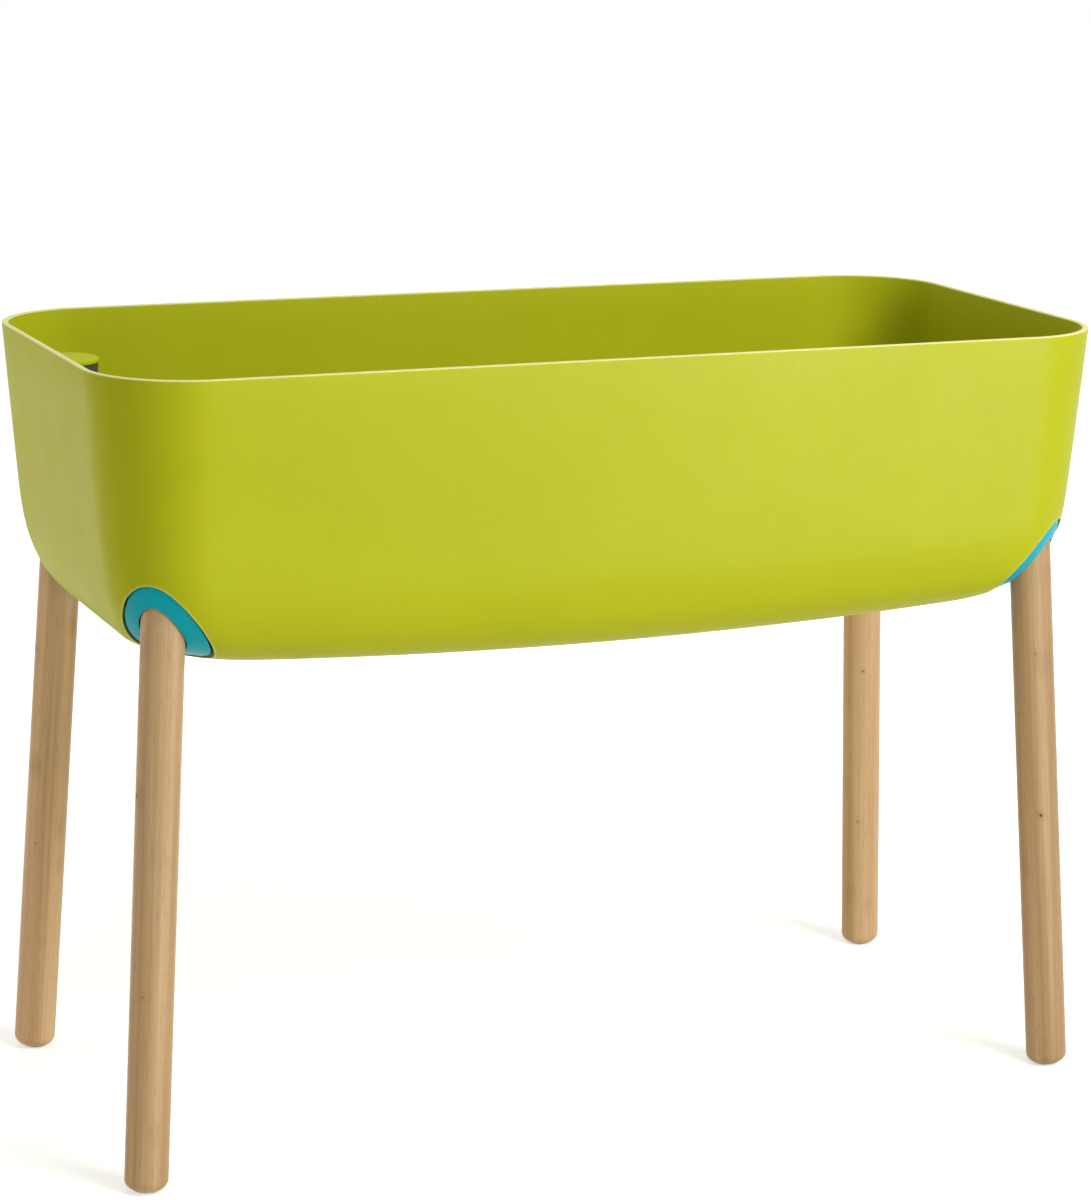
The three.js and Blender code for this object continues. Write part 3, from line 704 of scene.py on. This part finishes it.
def zinc_steel():
    s = Shader("zinc_steel")
    where = s.place()
    cloud = s.noise(where, 220, 4, 0.6)
    s.set(Base_Color=s.mix(cloud, srgb(168, 171, 176), srgb(204, 206, 208)))
    s.set(Metallic=1.0, Roughness=s.span(s.noise(where, 500, 3), 0.3, 0.7, 0.26, 0.4))
    s.bump(s.noise(where, 1800, 2), 0.2, 0.00004)
    return s.material


STEEL = zinc_steel()

# The knots that the photograph shows: the leg, the height and the angle about the leg in degrees,
# the radius, and how strongly it shows.
KNOTS = (
    ("front_right", 210, -113, 1.4, 0.95),
    ("front_right", 341, -113, 1.6, 0.35),
    ("rear_right", 258, -113, 1.1, 0.75),
    ("rear_right", 119, -127, 1.8, 0.3),
    ("front_left", 148, -131, 1.5, 0.3),
    ("rear_left", 176, -132, 1.2, 0.3),
)
KNOT_BROWN, HALO_BROWN = srgb(84, 50, 28), srgb(150, 108, 70)

# How pale the wood of each leg is, in red, green and blue: partly each leg's own tone, and partly
# painted light, paler on the rear legs in the tub's shadow and darker on the front right leg
# nearest the lamps.
LEG_TONE_AND_PAINTED_LIGHT = {
    "front_left": (0.87, 0.87, 0.87),
    "front_right": (0.74, 0.72, 0.69),
    "rear_left": (1, 1, 1),
    "rear_right": (1, 1, 1),
}


def grain_place(name, point):
    """Where a point of a leg, in metres, lies in the block of wood that all grain comes from."""
    number = list(CORNERS).index(name)
    turn, step = Matrix.Rotation(1.7 * number, 3, "Z"), Vector((0.31, 0.17, 0.53))
    return turn @ point + step * (number + 1)


def beech():
    """Sanded beech: long soft streaks, faint ray flecks, and a few small knots."""
    s = Shader("beech")
    where = s.add("Attribute", attribute_name="grain").outputs["Vector"]

    def stretched(x, z):
        return s.add("Mapping", Vector=where, Scale=(x, x, z)).outputs[0]

    bands = s.noise(stretched(85, 1.6), 1, 4, 0.55)
    fine = s.noise(stretched(420, 5), 1, 3, 0.6)
    tone = s.span(s.blend(bands, fine, 0.7), 0.36, 0.64, 0, 1)
    wood = s.mix(tone, srgb(190, 152, 104), srgb(223, 190, 143))
    blush = s.span(s.noise(stretched(55, 1.4), 1, 2), 0.42, 0.68, 0, 0.4)
    wood = s.mix(blush, wood, srgb(215, 169, 129))
    flecks = s.span(s.noise(stretched(900, 90), 1, 1, 0.4), 0.6, 0.74, 0, 0.24)
    wood = s.mix(flecks, wood, srgb(154, 110, 68))
    cells = s.add("TexVoronoi", Vector=stretched(40, 25), Scale=1)
    chosen = s.span(cells.outputs["Color"], 0.56, 0.6, 0, 1)
    halo = s.span(cells.outputs["Distance"], 0.05, 0.4, 0.3, 0)
    wood = s.mix(s.math("MULTIPLY", chosen, halo), wood, HALO_BROWN)
    knot = s.span(cells.outputs["Distance"], 0.03, 0.065, 0.9, 0)
    wood = s.mix(s.math("MULTIPLY", chosen, knot), wood, KNOT_BROWN)
    for name, height, angle, radius, strength in KNOTS:
        turn = math.radians(angle)
        centre = Vector((LEG_RADIUS * math.cos(turn), LEG_RADIUS * math.sin(turn), height))
        gap = s.add("VectorMath", operation="DISTANCE")
        s.put(gap.inputs[0], where)
        s.put(gap.inputs[1], grain_place(name, centre * METRES))
        reach = gap.outputs["Value"]
        halo = s.span(reach, radius * METRES, radius * 4 * METRES, strength * 0.3, 0)
        wood = s.mix(halo, wood, HALO_BROWN)
        core = s.span(reach, radius * 0.5 * METRES, radius * METRES, strength, 0)
        wood = s.mix(core, wood, KNOT_BROWN)
    # Each leg's tone, which also carries painted light: paler where the leg stands in shade, darker
    # near the lamps.
    tone_and_painted_light = s.add("Attribute", attribute_name="tone_and_painted_light").outputs["Color"]
    wood = s.mix(1.0, wood, tone_and_painted_light, "MULTIPLY")
    s.set(Base_Color=wood, Specular_IOR_Level=0.15)
    s.set(Roughness=s.span(fine, 0.3, 0.7, 0.42, 0.54))
    s.set(Sheen_Weight=0.4, Sheen_Roughness=0.3, Sheen_Tint=(1, 0.97, 0.93, 1))
    s.bump(s.math("ADD", fine, s.math("MULTIPLY", flecks, -0.6)), 0.25, 0.00012)
    return s.material


BEECH = beech()

# ---- Tub ----

DRAIN_UNDER, DRAIN_OVER = BELLY_HEIGHT - DRAIN_STEP, BELLY_HEIGHT + WALL + DRAIN_STEP
skin_form = full_form(0)
skin = Surface(skin_form)
half_form = full_form(WALL / 2)
plate_form = full_form(PLATE_RECESS)
plate_skin = Surface(plate_form)


def make_tub():
    outer, inner = form_rings(0), form_rings(WALL)
    rings = outer + rim_rings() + inner[::-1]
    tub = loft(rings, (0, 0, BELLY_HEIGHT), (0, 0, BELLY_HEIGHT + WALL))
    smooth = Surface(tub)
    for matrix in FRAMES.values():
        boss = socket_cone(POCKET_WALL, POCKET_TOP + POCKET_WALL, matrix, BOSS_ROUNDING)
        join(tub, meet(boss, copy_of(half_form)))
    low, high = DRAIN_UNDER, DRAIN_OVER
    boss = [(0, low), (DRAIN_BOSS, low), (DRAIN_BOSS, high), (0, high)]
    join(tub, revolve(softened(boss, (0, 0.6, 0.6, 0)), FINE))
    for matrix in FRAMES.values():
        cut(tub, socket_cone(0, POCKET_TOP, matrix))
        cut(tub, moved(disc(BOLT_HOLE, LEG_TOP, BOLT_TOP + BEYOND, TINY), matrix))
        low, high = (cone_radius(CONE_FOOT, 0), CONE_FOOT), (cone_radius(POCKET_TOP, 0), POCKET_TOP)
        cut(tub, edge_cutter(skin, matrix, low, high, 1, POCKET_EDGE))
    cut(tub, disc(DRAIN_RADIUS, DRAIN_UNDER - BEYOND, DRAIN_OVER + BEYOND))
    piece(tub, "tub_shell", "tub", LIME, surfaces=(smooth,))


make_tub()

# ---- Legs and sockets ----


def make_leg(name, matrix):
    """A leg from its foot up, with the nail's hole below and the bolt's hole above."""
    nail_top, bolt_foot = LEG_FOOT + NAIL_LENGTH, LEG_TOP - BOLT_IN_LEG
    nail_hole = NAIL_RADIUS + TURNING
    profile = [(0, nail_top), (nail_hole, nail_top), (nail_hole, LEG_FOOT)]
    for angle in quarter(FOOT_STEPS):
        radius = LEG_RADIUS - FOOT_ROUNDING * (1 - math.sin(angle))
        profile.append((radius, LEG_FOOT + FOOT_ROUNDING * (1 - math.cos(angle))))
    foot = profile[-1][1]
    rise = LEG_TOP - LEG_CHAMFER - foot
    profile += [(LEG_RADIUS, foot + rise * step / LEG_STEPS) for step in range(1, LEG_STEPS + 1)]
    profile += [(LEG_RADIUS - LEG_CHAMFER, LEG_TOP), (BOLT_HOLE, LEG_TOP)]
    profile += [(BOLT_HOLE, bolt_foot), (0, bolt_foot)]
    leg = revolve(profile, LEG_SIDES)
    sharpen(leg, WOOD_CREASE)
    grain = leg.data.attributes.new("grain", "FLOAT_VECTOR", "POINT")
    for vertex, value in zip(leg.data.vertices, grain.data):
        value.vector = grain_place(name, vertex.co * METRES)
    # Each leg's own tone together with painted light, for the wood's shader.
    tone_and_painted_light = leg.data.attributes.new("tone_and_painted_light", "FLOAT_VECTOR", "POINT")
    for value in tone_and_painted_light.data:
        value.vector = LEG_TONE_AND_PAINTED_LIGHT[name]
    moved(leg, matrix)
    piece(leg, f"leg_{name}_wood", f"leg_{name}", BEECH, WOOD_CREASE)


def make_socket(name, matrix, sx, sy):
    """A cone with a hollow that leaves its plate, sleeve and fins, its holes and its soft edges."""
    bore = LEG_RADIUS + BORE_GAP
    flush = meet(socket_cone(-SOCKET_REVEAL, SOCKET_END, matrix), copy_of(plate_form))
    hollow = shifted(copy_of(skin_form), -sx * SOCKET_PLATE, -sy * SOCKET_PLATE, SOCKET_PLATE)
    cut(hollow, moved(disc(bore + SLEEVE_WALL, CONE_FOOT - BEYOND, SOCKET_END + BEYOND), matrix))
    for i in range(FIN_COUNT):
        size = (CORNER_RADIUS, FIN_THICKNESS, POCKET_TOP)
        fin = block(size, (CORNER_RADIUS / 2, 0, POCKET_TOP / 2))
        cut(hollow, moved(turned(fin, (i + 0.5) * 2 * math.pi / FIN_COUNT), matrix))
    cut(flush, hollow)
    cut(flush, moved(disc(bore, CONE_FOOT - BEYOND, LEG_TOP + SEAT, FINE), matrix))
    cut(flush, moved(disc(SOCKET_TOP_OPENING, LEG_TOP - BEYOND, SOCKET_END + BEYOND), matrix))
    low = (cone_radius(CONE_FOOT, -SOCKET_REVEAL), CONE_FOOT)
    high = (cone_radius(SOCKET_END, -SOCKET_REVEAL), SOCKET_END)
    cut(flush, edge_cutter(plate_skin, matrix, low, high, -1, PLATE_EDGE))
    cut(flush, edge_cutter(plate_skin, matrix, (bore, CONE_FOOT), (bore, LEG_TOP), 1, BORE_EDGE))
    node, slot = f"socket_{name}", "socket_turquoise"
    piece(flush, f"socket_{name}_plate", node, TURQUOISE, surfaces=(plate_skin,))


def make_glide(name, matrix):
    """A domed pad with its nail, cut level where it stands on the floor."""
    profile = []
    for step in range(DOME_STEPS + 1):
        radius = GLIDE_RADIUS * step / DOME_STEPS
        profile.append((radius, DOME_RADIUS - math.sqrt(DOME_RADIUS**2 - radius**2)))
    top = GLIDE_THICKNESS + NAIL_LENGTH
    profile += [(GLIDE_RADIUS, GLIDE_THICKNESS), (NAIL_RADIUS, GLIDE_THICKNESS)]
    profile += [(NAIL_RADIUS, top), (0, top)]
    glide = moved(revolve(profile, SMALL), matrix)
    place = matrix.translation
    cut(glide, block((2 * BEYOND, 2 * BEYOND, BEYOND), (place.x, place.y, -BEYOND / 2)))
    piece(glide, f"glide_{name}_pad", f"glide_{name}", WHITE)


def make_ring(name, matrix, kind, slot, material, radius, foot, thickness):
    ring = moved(flat_ring(BOLT_HOLE, radius, foot, foot + thickness), matrix)
    piece(ring, f"{kind}_{name}_ring", f"{kind}_{name}", material)


def make_nut(name, matrix):
    """A hexagon with its corners turned off, and the dome on it."""
    top, reach = NUT_FOOT + NUT_HEIGHT, NUT_ACROSS / 2
    nut = disc(reach, NUT_FOOT, top, NUT_SIDES)
    wide, rise = reach + NUT_CHAMFER_RUN, NUT_CHAMFER_HEIGHT
    chamfer = [(0, NUT_FOOT), (reach - NUT_FOOT_INSET, NUT_FOOT), (wide, NUT_FOOT + rise)]
    chamfer += [(wide, top - rise), (reach - NUT_TOP_INSET, top), (0, top)]
    meet(nut, revolve(chamfer, ROUND))
    base = reach - NUT_DOME_INSET
    dome = [(0, NUT_FOOT), (base, NUT_FOOT), (base, top)]
    for angle in quarter(DOME_STEPS, 1):
        dome.append((base * math.cos(angle), top + NUT_DOME * math.sin(angle)))
    join(nut, revolve(dome, SMALL))
    cut(nut, disc(BOLT_HOLE, NUT_FOOT - OVERLAP, BOLT_TOP + SEAT, TINY))
    piece(moved(nut, matrix), f"cap_nut_{name}_dome", f"cap_nut_{name}", STEEL)


for corner, (side_x, side_y) in CORNERS.items():
    held = FRAMES[corner]
    make_leg(corner, held)
    make_socket(corner, held, side_x, side_y)
    make_glide(corner, held)
    seal = (SEAL_RADIUS, SEAL_FOOT, SEAL_THICKNESS)
    make_ring(corner, held, "bolt_seal", "seal_rubber", RUBBER, *seal)
    washer = (WASHER_RADIUS, WASHER_FOOT, WASHER_THICKNESS)
    make_ring(corner, held, "bolt_washer", "fastener_steel", STEEL, *washer)
    make_nut(corner, held)
    bolt = frame["nodes"][f"bolt_{corner}"]
    bolt.data.materials.clear()
    bolt.data.materials.append(STEEL)

# ---- Reservoir ----

# The filler tube stands beside the boss of the rear left leg.
FLOOR_TOP = RIM_HEIGHT - SOIL_DEPTH
FLOOR_UNDER = FLOOR_TOP - FLOOR_THICKNESS
SKIRT_FOOT = FLOOR_UNDER - FLOOR_SKIRT
SHAFT_FOOT = inner_floor(HALF_LENGTH - END_CURVE_DEPTH) + TUBE_ABOVE_FLOOR
BOSS_DEPTH = POCKET_TOP - along_leg(SHAFT_FOOT)
BOSS_RADIUS = SOCKET_TOP_RADIUS + POCKET_WALL + SOCKET_TAPER * BOSS_DEPTH
CAP_TOP = RIM_HEIGHT - CAP_BELOW_RIM
MOUTH_TOP = CAP_TOP - CAP_THICKNESS - SEAT
MOUTH_FOOT = MOUTH_TOP - MOUTH_HEIGHT
FUNNEL_FOOT = MOUTH_FOOT - FUNNEL_HEIGHT
MOUTH_X = -(HALF_LENGTH - WALL - WALL_DRAFT * CAP_BELOW_RIM - CAP_TO_WALL - CAP_RADIUS)
SHAFT_X = MOUTH_X + TUBE_INWARD
SHAFT_Y = leg_axis_at(SHAFT_FOOT, -1, 1).y - BOSS_RADIUS - TUBE_RADIUS - TUBE_TO_POCKET
MOUTH_Y = SHAFT_Y + TUBE_SIDEWAYS
MOUTH_OUTER = CAP_RADIUS - CAP_OVER_MOUTH


def on_shaft(obj):
    return shifted(obj, SHAFT_X, SHAFT_Y)


def slab(sizes, low, high, rounding=0.0):
    """A level plate with round corners. Its upper edge can be rounded."""

    def ring(inset, z):
        points = outline(*(size - inset for size in sizes), SLAB_OUTLINE)
        return np.column_stack([points, np.full(len(points), z)])

    rings = [ring(0, low)]
    if rounding:
        for angle in quarter(SLAB_STEPS):
            run, drop = rounding * (1 - math.cos(angle)), rounding * (1 - math.sin(angle))
            rings.append(ring(run, high - drop))
    else:
        rings.append(ring(0, high))
    return loft(rings, (0, 0, low), (0, 0, high))


def air_slot(x, y):
    """A slot with round ends through the floor."""
    half_width = SLOT_WIDTH / 2
    points = outline(half_width, SLOT_LENGTH / 2, half_width - HAIR, SLOT_OUTLINE) + (x, y)
    ends = FLOOR_TOP - 2 * FLOOR_THICKNESS, FLOOR_TOP + 2 * FLOOR_THICKNESS
    rings = [np.column_stack([points, np.full(len(points), end)]) for end in ends]
    return loft(rings, (x, y, ends[0]), (x, y, ends[1]))


def make_floor():
    """The false floor: a plate with a skirt, six feet, air slots, and holes for cups and tube."""
    sizes = inner_section(SKIRT_FOOT, FLOOR_CLEARANCE)
    inner = inner_section(SKIRT_FOOT, FLOOR_CLEARANCE + FLOOR_THICKNESS)
    clear, above = POCKET_WALL + FLOOR_CLEARANCE, FLOOR_TOP + OVERLAP
    floor = slab(sizes, SKIRT_FOOT, FLOOR_TOP, FLOOR_ROUNDING)
    space = slab(inner, SKIRT_FOOT - BEYOND, FLOOR_UNDER)
    for matrix in FRAMES.values():
        cut(floor, socket_cone(clear, POCKET_TOP + BEYOND, matrix))
        cut(space, socket_cone(clear + FLOOR_THICKNESS, POCKET_TOP + BEYOND, matrix))
    cut(floor, space)
    for x in (-FLOOR_FOOT_X, 0, FLOOR_FOOT_X):
        for y in (-FLOOR_FOOT_Y, FLOOR_FOOT_Y):
            low, top = inner_floor(abs(x) + FOOT_BOTTOM) + SEAT, FLOOR_UNDER + OVERLAP
            foot = [(0, low), (FOOT_BOTTOM, low), (FOOT_TOP, top), (0, top)]
            join(floor, shifted(revolve(foot, TINY), x, y))
    for x in (-BASKET_X, BASKET_X):
        hole = BASKET_RADIUS + SEAT + BASKET_TAPER * FLOOR_THICKNESS
        cut(floor, shifted(disc(hole, SKIRT_FOOT, above, FINE), x, 0))
    cut(floor, on_shaft(disc(TUBE_RADIUS + SEAT, SKIRT_FOOT, above)))
    reach = math.floor((sizes[0] - CORNER_RADIUS) / SLOT_PITCH)
    for i in range(-reach, reach + 1):
        for y in (-(sizes[1] - SLOT_INSET), sizes[1] - SLOT_INSET):
            cut(floor, air_slot(i * SLOT_PITCH, y))
    piece(floor, "reservoir_floor_plate", "reservoir_floor", DARK)


def make_basket(name, x):
    """A tapered cup with a flange and slots round its foot."""
    mouth, foot = FLOOR_TOP + SEAT, inner_floor(BASKET_X + BASKET_RADIUS) + SEAT
    low = BASKET_RADIUS - BASKET_TAPER * (mouth - foot)
    edge, top, bottom = BASKET_RADIUS + BASKET_FLANGE, mouth + BASKET_WALL, foot + BASKET_WALL
    profile = [
        (0, foot), (low, foot), (BASKET_RADIUS, mouth), (edge, mouth), (edge, top),
        (BASKET_RADIUS - BASKET_WALL, top), (low - BASKET_WALL, bottom), (0, bottom),
    ]
    basket = revolve(softened(profile, (0, 2.5, 0, 0.5, 0.8, 0.9, 1.2, 0)), FINE)
    for i in range(BASKET_SLOTS):
        size = (BASKET_RADIUS, BASKET_SLOT_WIDTH, 2 * BASKET_SLOT_HEIGHT)
        slot = block(size, (BASKET_SLOT_START + BASKET_RADIUS / 2, 0, foot))
        cut(basket, turned(slot, (i + 0.5) * 2 * math.pi / BASKET_SLOTS))
    piece(shifted(basket, x, 0), f"{name}_cup", name, DARK)


def funnel_form(inset, low, high):
    """The filler tube's shaft, its funnel with soft bends, and its mouth."""
    rings = [circle(TUBE_RADIUS - inset, low, ROUND, SHAFT_X, SHAFT_Y)]
    for step in range(FUNNEL_STEPS + 1):
        t = step / FUNNEL_STEPS
        share = FUNNEL_EASE * t * t * (3 - 2 * t) + (1 - FUNNEL_EASE) * t
        radius = TUBE_RADIUS + (MOUTH_OUTER - TUBE_RADIUS) * share - inset
        x, y = SHAFT_X + (MOUTH_X - SHAFT_X) * share, SHAFT_Y + (MOUTH_Y - SHAFT_Y) * share
        rings.append(circle(radius, FUNNEL_FOOT + (MOUTH_FOOT - FUNNEL_FOOT) * t, ROUND, x, y))
    rings.append(circle(MOUTH_OUTER - inset, high, ROUND, MOUTH_X, MOUTH_Y))
    return loft(rings, (SHAFT_X, SHAFT_Y, low), (MOUTH_X, MOUTH_Y, high))


def make_tube():
    """The funnel hollowed out, with a collar on the floor, slots and the float rod's guide."""
    tube = funnel_form(0, SHAFT_FOOT, MOUTH_TOP)
    low, edge = FLOOR_TOP + SEAT, TUBE_RADIUS + COLLAR_WIDTH
    collar = [(0, low), (edge, low), (edge, low + COLLAR_THICKNESS), (0, low + COLLAR_THICKNESS)]
    collar = revolve(softened(collar, (0, 0.4, 0.6, 0)), ROUND)
    join(tube, on_shaft(collar))
    cut(tube, funnel_form(TUBE_WALL, SHAFT_FOOT + TUBE_WALL, MOUTH_TOP + OVERLAP))
    mouth = TUBE_RADIUS - TUBE_WALL - TUBE_LIP
    lip = disc(mouth, SHAFT_FOOT - BEYOND, SHAFT_FOOT + BEYOND, SMALL)
    cut(tube, on_shaft(lip))
    for angle in (math.pi / 4, math.pi * 3 / 4):
        slot = block((2 * BEYOND, TUBE_SLOT_WIDTH, 2 * TUBE_SLOT_HEIGHT), (0, 0, SHAFT_FOOT))
        cut(tube, on_shaft(turned(slot, angle)))
    foot = FLOOR_TOP + GUIDE_RISE - GUIDE_THICKNESS
    top, middle = foot + GUIDE_THICKNESS, foot + GUIDE_THICKNESS / 2
    guide = disc(GUIDE_HUB, foot, top, TINY)
    reach = TUBE_RADIUS - TUBE_WALL / 2
    for i in range(GUIDE_SPOKES):
        size = (reach, GUIDE_SPOKE, GUIDE_THICKNESS - 2 * HAIR)
        spoke = block(size, (reach / 2, 0, middle))
        join(guide, turned(spoke, i * 2 * math.pi / GUIDE_SPOKES))
    join(tube, on_shaft(guide))
    hole = disc(ROD_RADIUS + TURNING, foot - OVERLAP, top + OVERLAP, TINY)
    cut(tube, on_shaft(hole))
    piece(tube, "filler_tube_funnel", "filler_tube", DARK)


def make_cap():
    """A lid with a skirt that fits into the tube's mouth."""
    skirt, foot = MOUTH_OUTER - TUBE_WALL - SEAT, CAP_TOP - CAP_THICKNESS
    hollow, low = skirt - CAP_SKIRT_WALL, foot - CAP_SKIRT_DEPTH
    profile = [
        (0, foot), (hollow, foot), (hollow, low), (skirt, low),
        (skirt, foot), (CAP_RADIUS, foot), (CAP_RADIUS, CAP_TOP), (0, CAP_TOP),
    ]
    cap = revolve(softened(profile, (0, 0.8, 0.4, 0.6, 0, 0.4, 1.1, 0)), FINE)
    piece(shifted(cap, MOUTH_X, MOUTH_Y), "filler_cap_lid", "filler_cap", CAP_LIME)


def make_float():
    """The float with the rod that shows the water's level."""
    low = SHAFT_FOOT + TUBE_WALL + SEAT
    high, top = low + FLOAT_HEIGHT, CAP_TOP - ROD_BELOW_CAP
    profile = [
        (0, low), (FLOAT_RADIUS, low), (FLOAT_RADIUS, high),
        (ROD_RADIUS, high), (ROD_RADIUS, top), (0, top),
    ]
    body = revolve(softened(profile, (0, 1.2, 2.2, 0.5, 0.9, 0)), SMALL)
    piece(on_shaft(body), "float_body", "float", RED)


def pull_tab(foot):
    """The flat tab under the bung's flange, with round lower corners and chamfered edges."""
    half, corner = TAB_WIDTH / 2, TAB_HEIGHT / 2
    shape = [(-half, foot + OVERLAP)]
    for centre, start in ((-half + corner, math.pi), (half - corner, 1.5 * math.pi)):
        for angle in quarter(DOME_STEPS):
            x, z = math.cos(start + angle), math.sin(start + angle)
            shape.append((centre + corner * x, foot - TAB_HEIGHT + corner + corner * z))
    shape.append((half, foot + OVERLAP))
    rings = []
    for share, inset in ((-1, TAB_CHAMFER), (-TAB_FLAT, 0), (TAB_FLAT, 0), (1, TAB_CHAMFER)):
        narrower, y = 1 - inset / half, share * TAB_THICKNESS / 2
        rings.append([(x * narrower, y, z if z > foot else z + inset) for x, z in shape])
    middle = foot - TAB_HEIGHT / 2
    return loft(rings, (0, -TAB_THICKNESS / 2, middle), (0, TAB_THICKNESS / 2, middle))


def make_drain():
    """The drain bung with its pull tab, and the sealing ring between it and the belly."""
    flange_top = DRAIN_UNDER - DRAIN_WASHER
    foot, top = flange_top - DRAIN_FLANGE_THICKNESS, DRAIN_OVER + PLUG_REACH
    plug = DRAIN_RADIUS - TURNING
    tip = plug - PLUG_TAPER * (top - flange_top)
    profile = [
        (0, foot), (DRAIN_FLANGE, foot), (DRAIN_FLANGE, flange_top),
        (plug, flange_top), (tip, top), (0, top),
    ]
    bung = revolve(softened(profile, (0, 1.2, 0.5, 0, 1.5, 0)), ROUND)
    join(bung, pull_tab(foot))
    piece(bung, "drain_bung_plug", "drain_bung", RUBBER)
    washer = flat_ring(DRAIN_RADIUS + TURNING, DRAIN_FLANGE, flange_top, DRAIN_UNDER)
    piece(washer, "drain_washer_ring", "drain_washer", RUBBER)


make_floor()
make_basket("wick_basket_left", -BASKET_X)
make_basket("wick_basket_right", BASKET_X)
make_tube()
make_cap()
make_float()
make_drain()
discard(skin_form)
discard(half_form)
discard(plate_form)

# ---- Camera ----

# Fitted to the photograph together with the object's proportions.
YAW, PITCH, ROLL = (math.radians(a) for a in (22.7367, 12.967, 0.8095))
AIM, DISTANCE = Vector((-0.0003744, 0, 0.3754107)), 2.7034684
FOCAL_PIXELS, FRAME_PIXELS, SENSOR = 3450.5, 1200, 36

ahead = Vector((math.sin(YAW) * math.cos(PITCH), math.cos(YAW) * math.cos(PITCH), -math.sin(PITCH)))
level = ahead.cross(Vector((0, 0, 1))).normalized()
upright = level.cross(ahead)
right = level * math.cos(ROLL) + upright * math.sin(ROLL)
up = upright * math.cos(ROLL) - level * math.sin(ROLL)
eye = AIM - ahead * DISTANCE
lens = bpy.data.cameras.new("camera")
lens.sensor_width = SENSOR
lens.lens = SENSOR * FOCAL_PIXELS / FRAME_PIXELS
camera = bpy.data.objects.new("camera", lens)
scene.collection.objects.link(camera)
camera.matrix_world = Matrix.Translation(eye) @ Matrix((right, up, -ahead)).transposed().to_4x4()
scene.camera = camera

# ---- Room and light ----

# The room's light on the object, the floor's half side in metres, and its glow: the distances in
# metres over which it rises from near to far.
ROOM_LIGHT, STAGE = 0.23, 12
GLOW_STARTS, GLOW_FULL, GLOW_NEAR, GLOW_FAR = 0.7, 2.6, 0.53, 0.9


def lamp(name, place, target, size, watts, colour=(1, 1, 1), mirrored=True, lit=True):
    """An aimed area lamp. Not mirrored, it shows in no gloss, and not lit, it shows only there."""
    data = bpy.data.lights.new(name, "AREA")
    data.shape = "RECTANGLE"
    data.size, data.size_y = size
    data.energy = watts
    data.color = colour
    obj = bpy.data.objects.new(name, data)
    scene.collection.objects.link(obj)
    obj.location = place
    obj.rotation_mode = "QUATERNION"
    obj.rotation_quaternion = (Vector(target) - Vector(place)).to_track_quat("-Z", "Y")
    obj.visible_glossy = mirrored
    obj.visible_diffuse = lit


lamp("key", (1.1, -2.0, 2.0), (0.1, 0, 0.4), (1.3, 1.1), 51)
lamp("low", (0.4, -2.5, 0.3), (0, 0, 0.15), (1.6, 0.5), 9)
lamp("satin", (1.0, -1.6, 0.25), (0.2, -0.18, 0.54), (0.9, 0.4), 34, lit=False)
lamp("left", (-2.3, 1.3, 0.9), (-0.3, 0, 0.35), (1.2, 1.4), 19, (1, 0.88, 0.8), mirrored=False)
lamp("top", (0.3, -0.4, 3.0), (0, 0, 0.4), (1.8, 1.2), 16)
lamp("back", (0.5, 2.6, 1.7), (0, 0, 0.4), (1.6, 1.2), 18, mirrored=False)


def white_world():
    """White where the camera, a gloss or a clear piece looks, and a plain soft light elsewhere."""
    world = bpy.data.worlds.new("world")
    w = Nodes(world)
    path = w.add("LightPath")
    seen = w.math("MAXIMUM", path.outputs["Is Camera Ray"], path.outputs["Is Glossy Ray"])
    seen = w.math("MAXIMUM", seen, path.outputs["Is Transmission Ray"])
    back = w.nodes["Background"]
    w.put(back.inputs["Color"], (1, 1, 1, 1))
    w.put(back.inputs["Strength"], w.span(seen, 0, 1, ROOM_LIGHT, 1))
    scene.world = world


white_world()


def floor_stage():
    """A pale floor that clips to white in the open and keeps the table's soft shadow.

    To the camera and in glosses it also glows, more strongly away from the table.
    """
    mesh = bpy.data.meshes.new("stage_floor")
    corners = [(-STAGE, -STAGE, 0), (STAGE, -STAGE, 0), (STAGE, STAGE, 0), (-STAGE, STAGE, 0)]
    mesh.from_pydata(corners, [], [(0, 1, 2, 3)])
    obj = bpy.data.objects.new("stage_floor", mesh)
    scene.collection.objects.link(obj)
    s = Shader("stage_floor")
    s.set(Base_Color=(0.85, 0.82, 0.78, 1), Roughness=0.9, Specular_IOR_Level=0.1)
    path = s.add("LightPath")
    seen = s.math("MAXIMUM", path.outputs["Is Camera Ray"], path.outputs["Is Glossy Ray"])
    away = s.add("VectorMath", operation="LENGTH")
    s.put(away.inputs[0], s.place())
    glow = s.span(away.outputs["Value"], GLOW_STARTS, GLOW_FULL, GLOW_NEAR, GLOW_FAR)
    s.set(Emission_Color=(0.92, 0.97, 1, 1), Emission_Strength=s.math("MULTIPLY", seen, glow))
    mesh.materials.append(s.material)


floor_stage()
scene.view_settings.view_transform = "Standard"
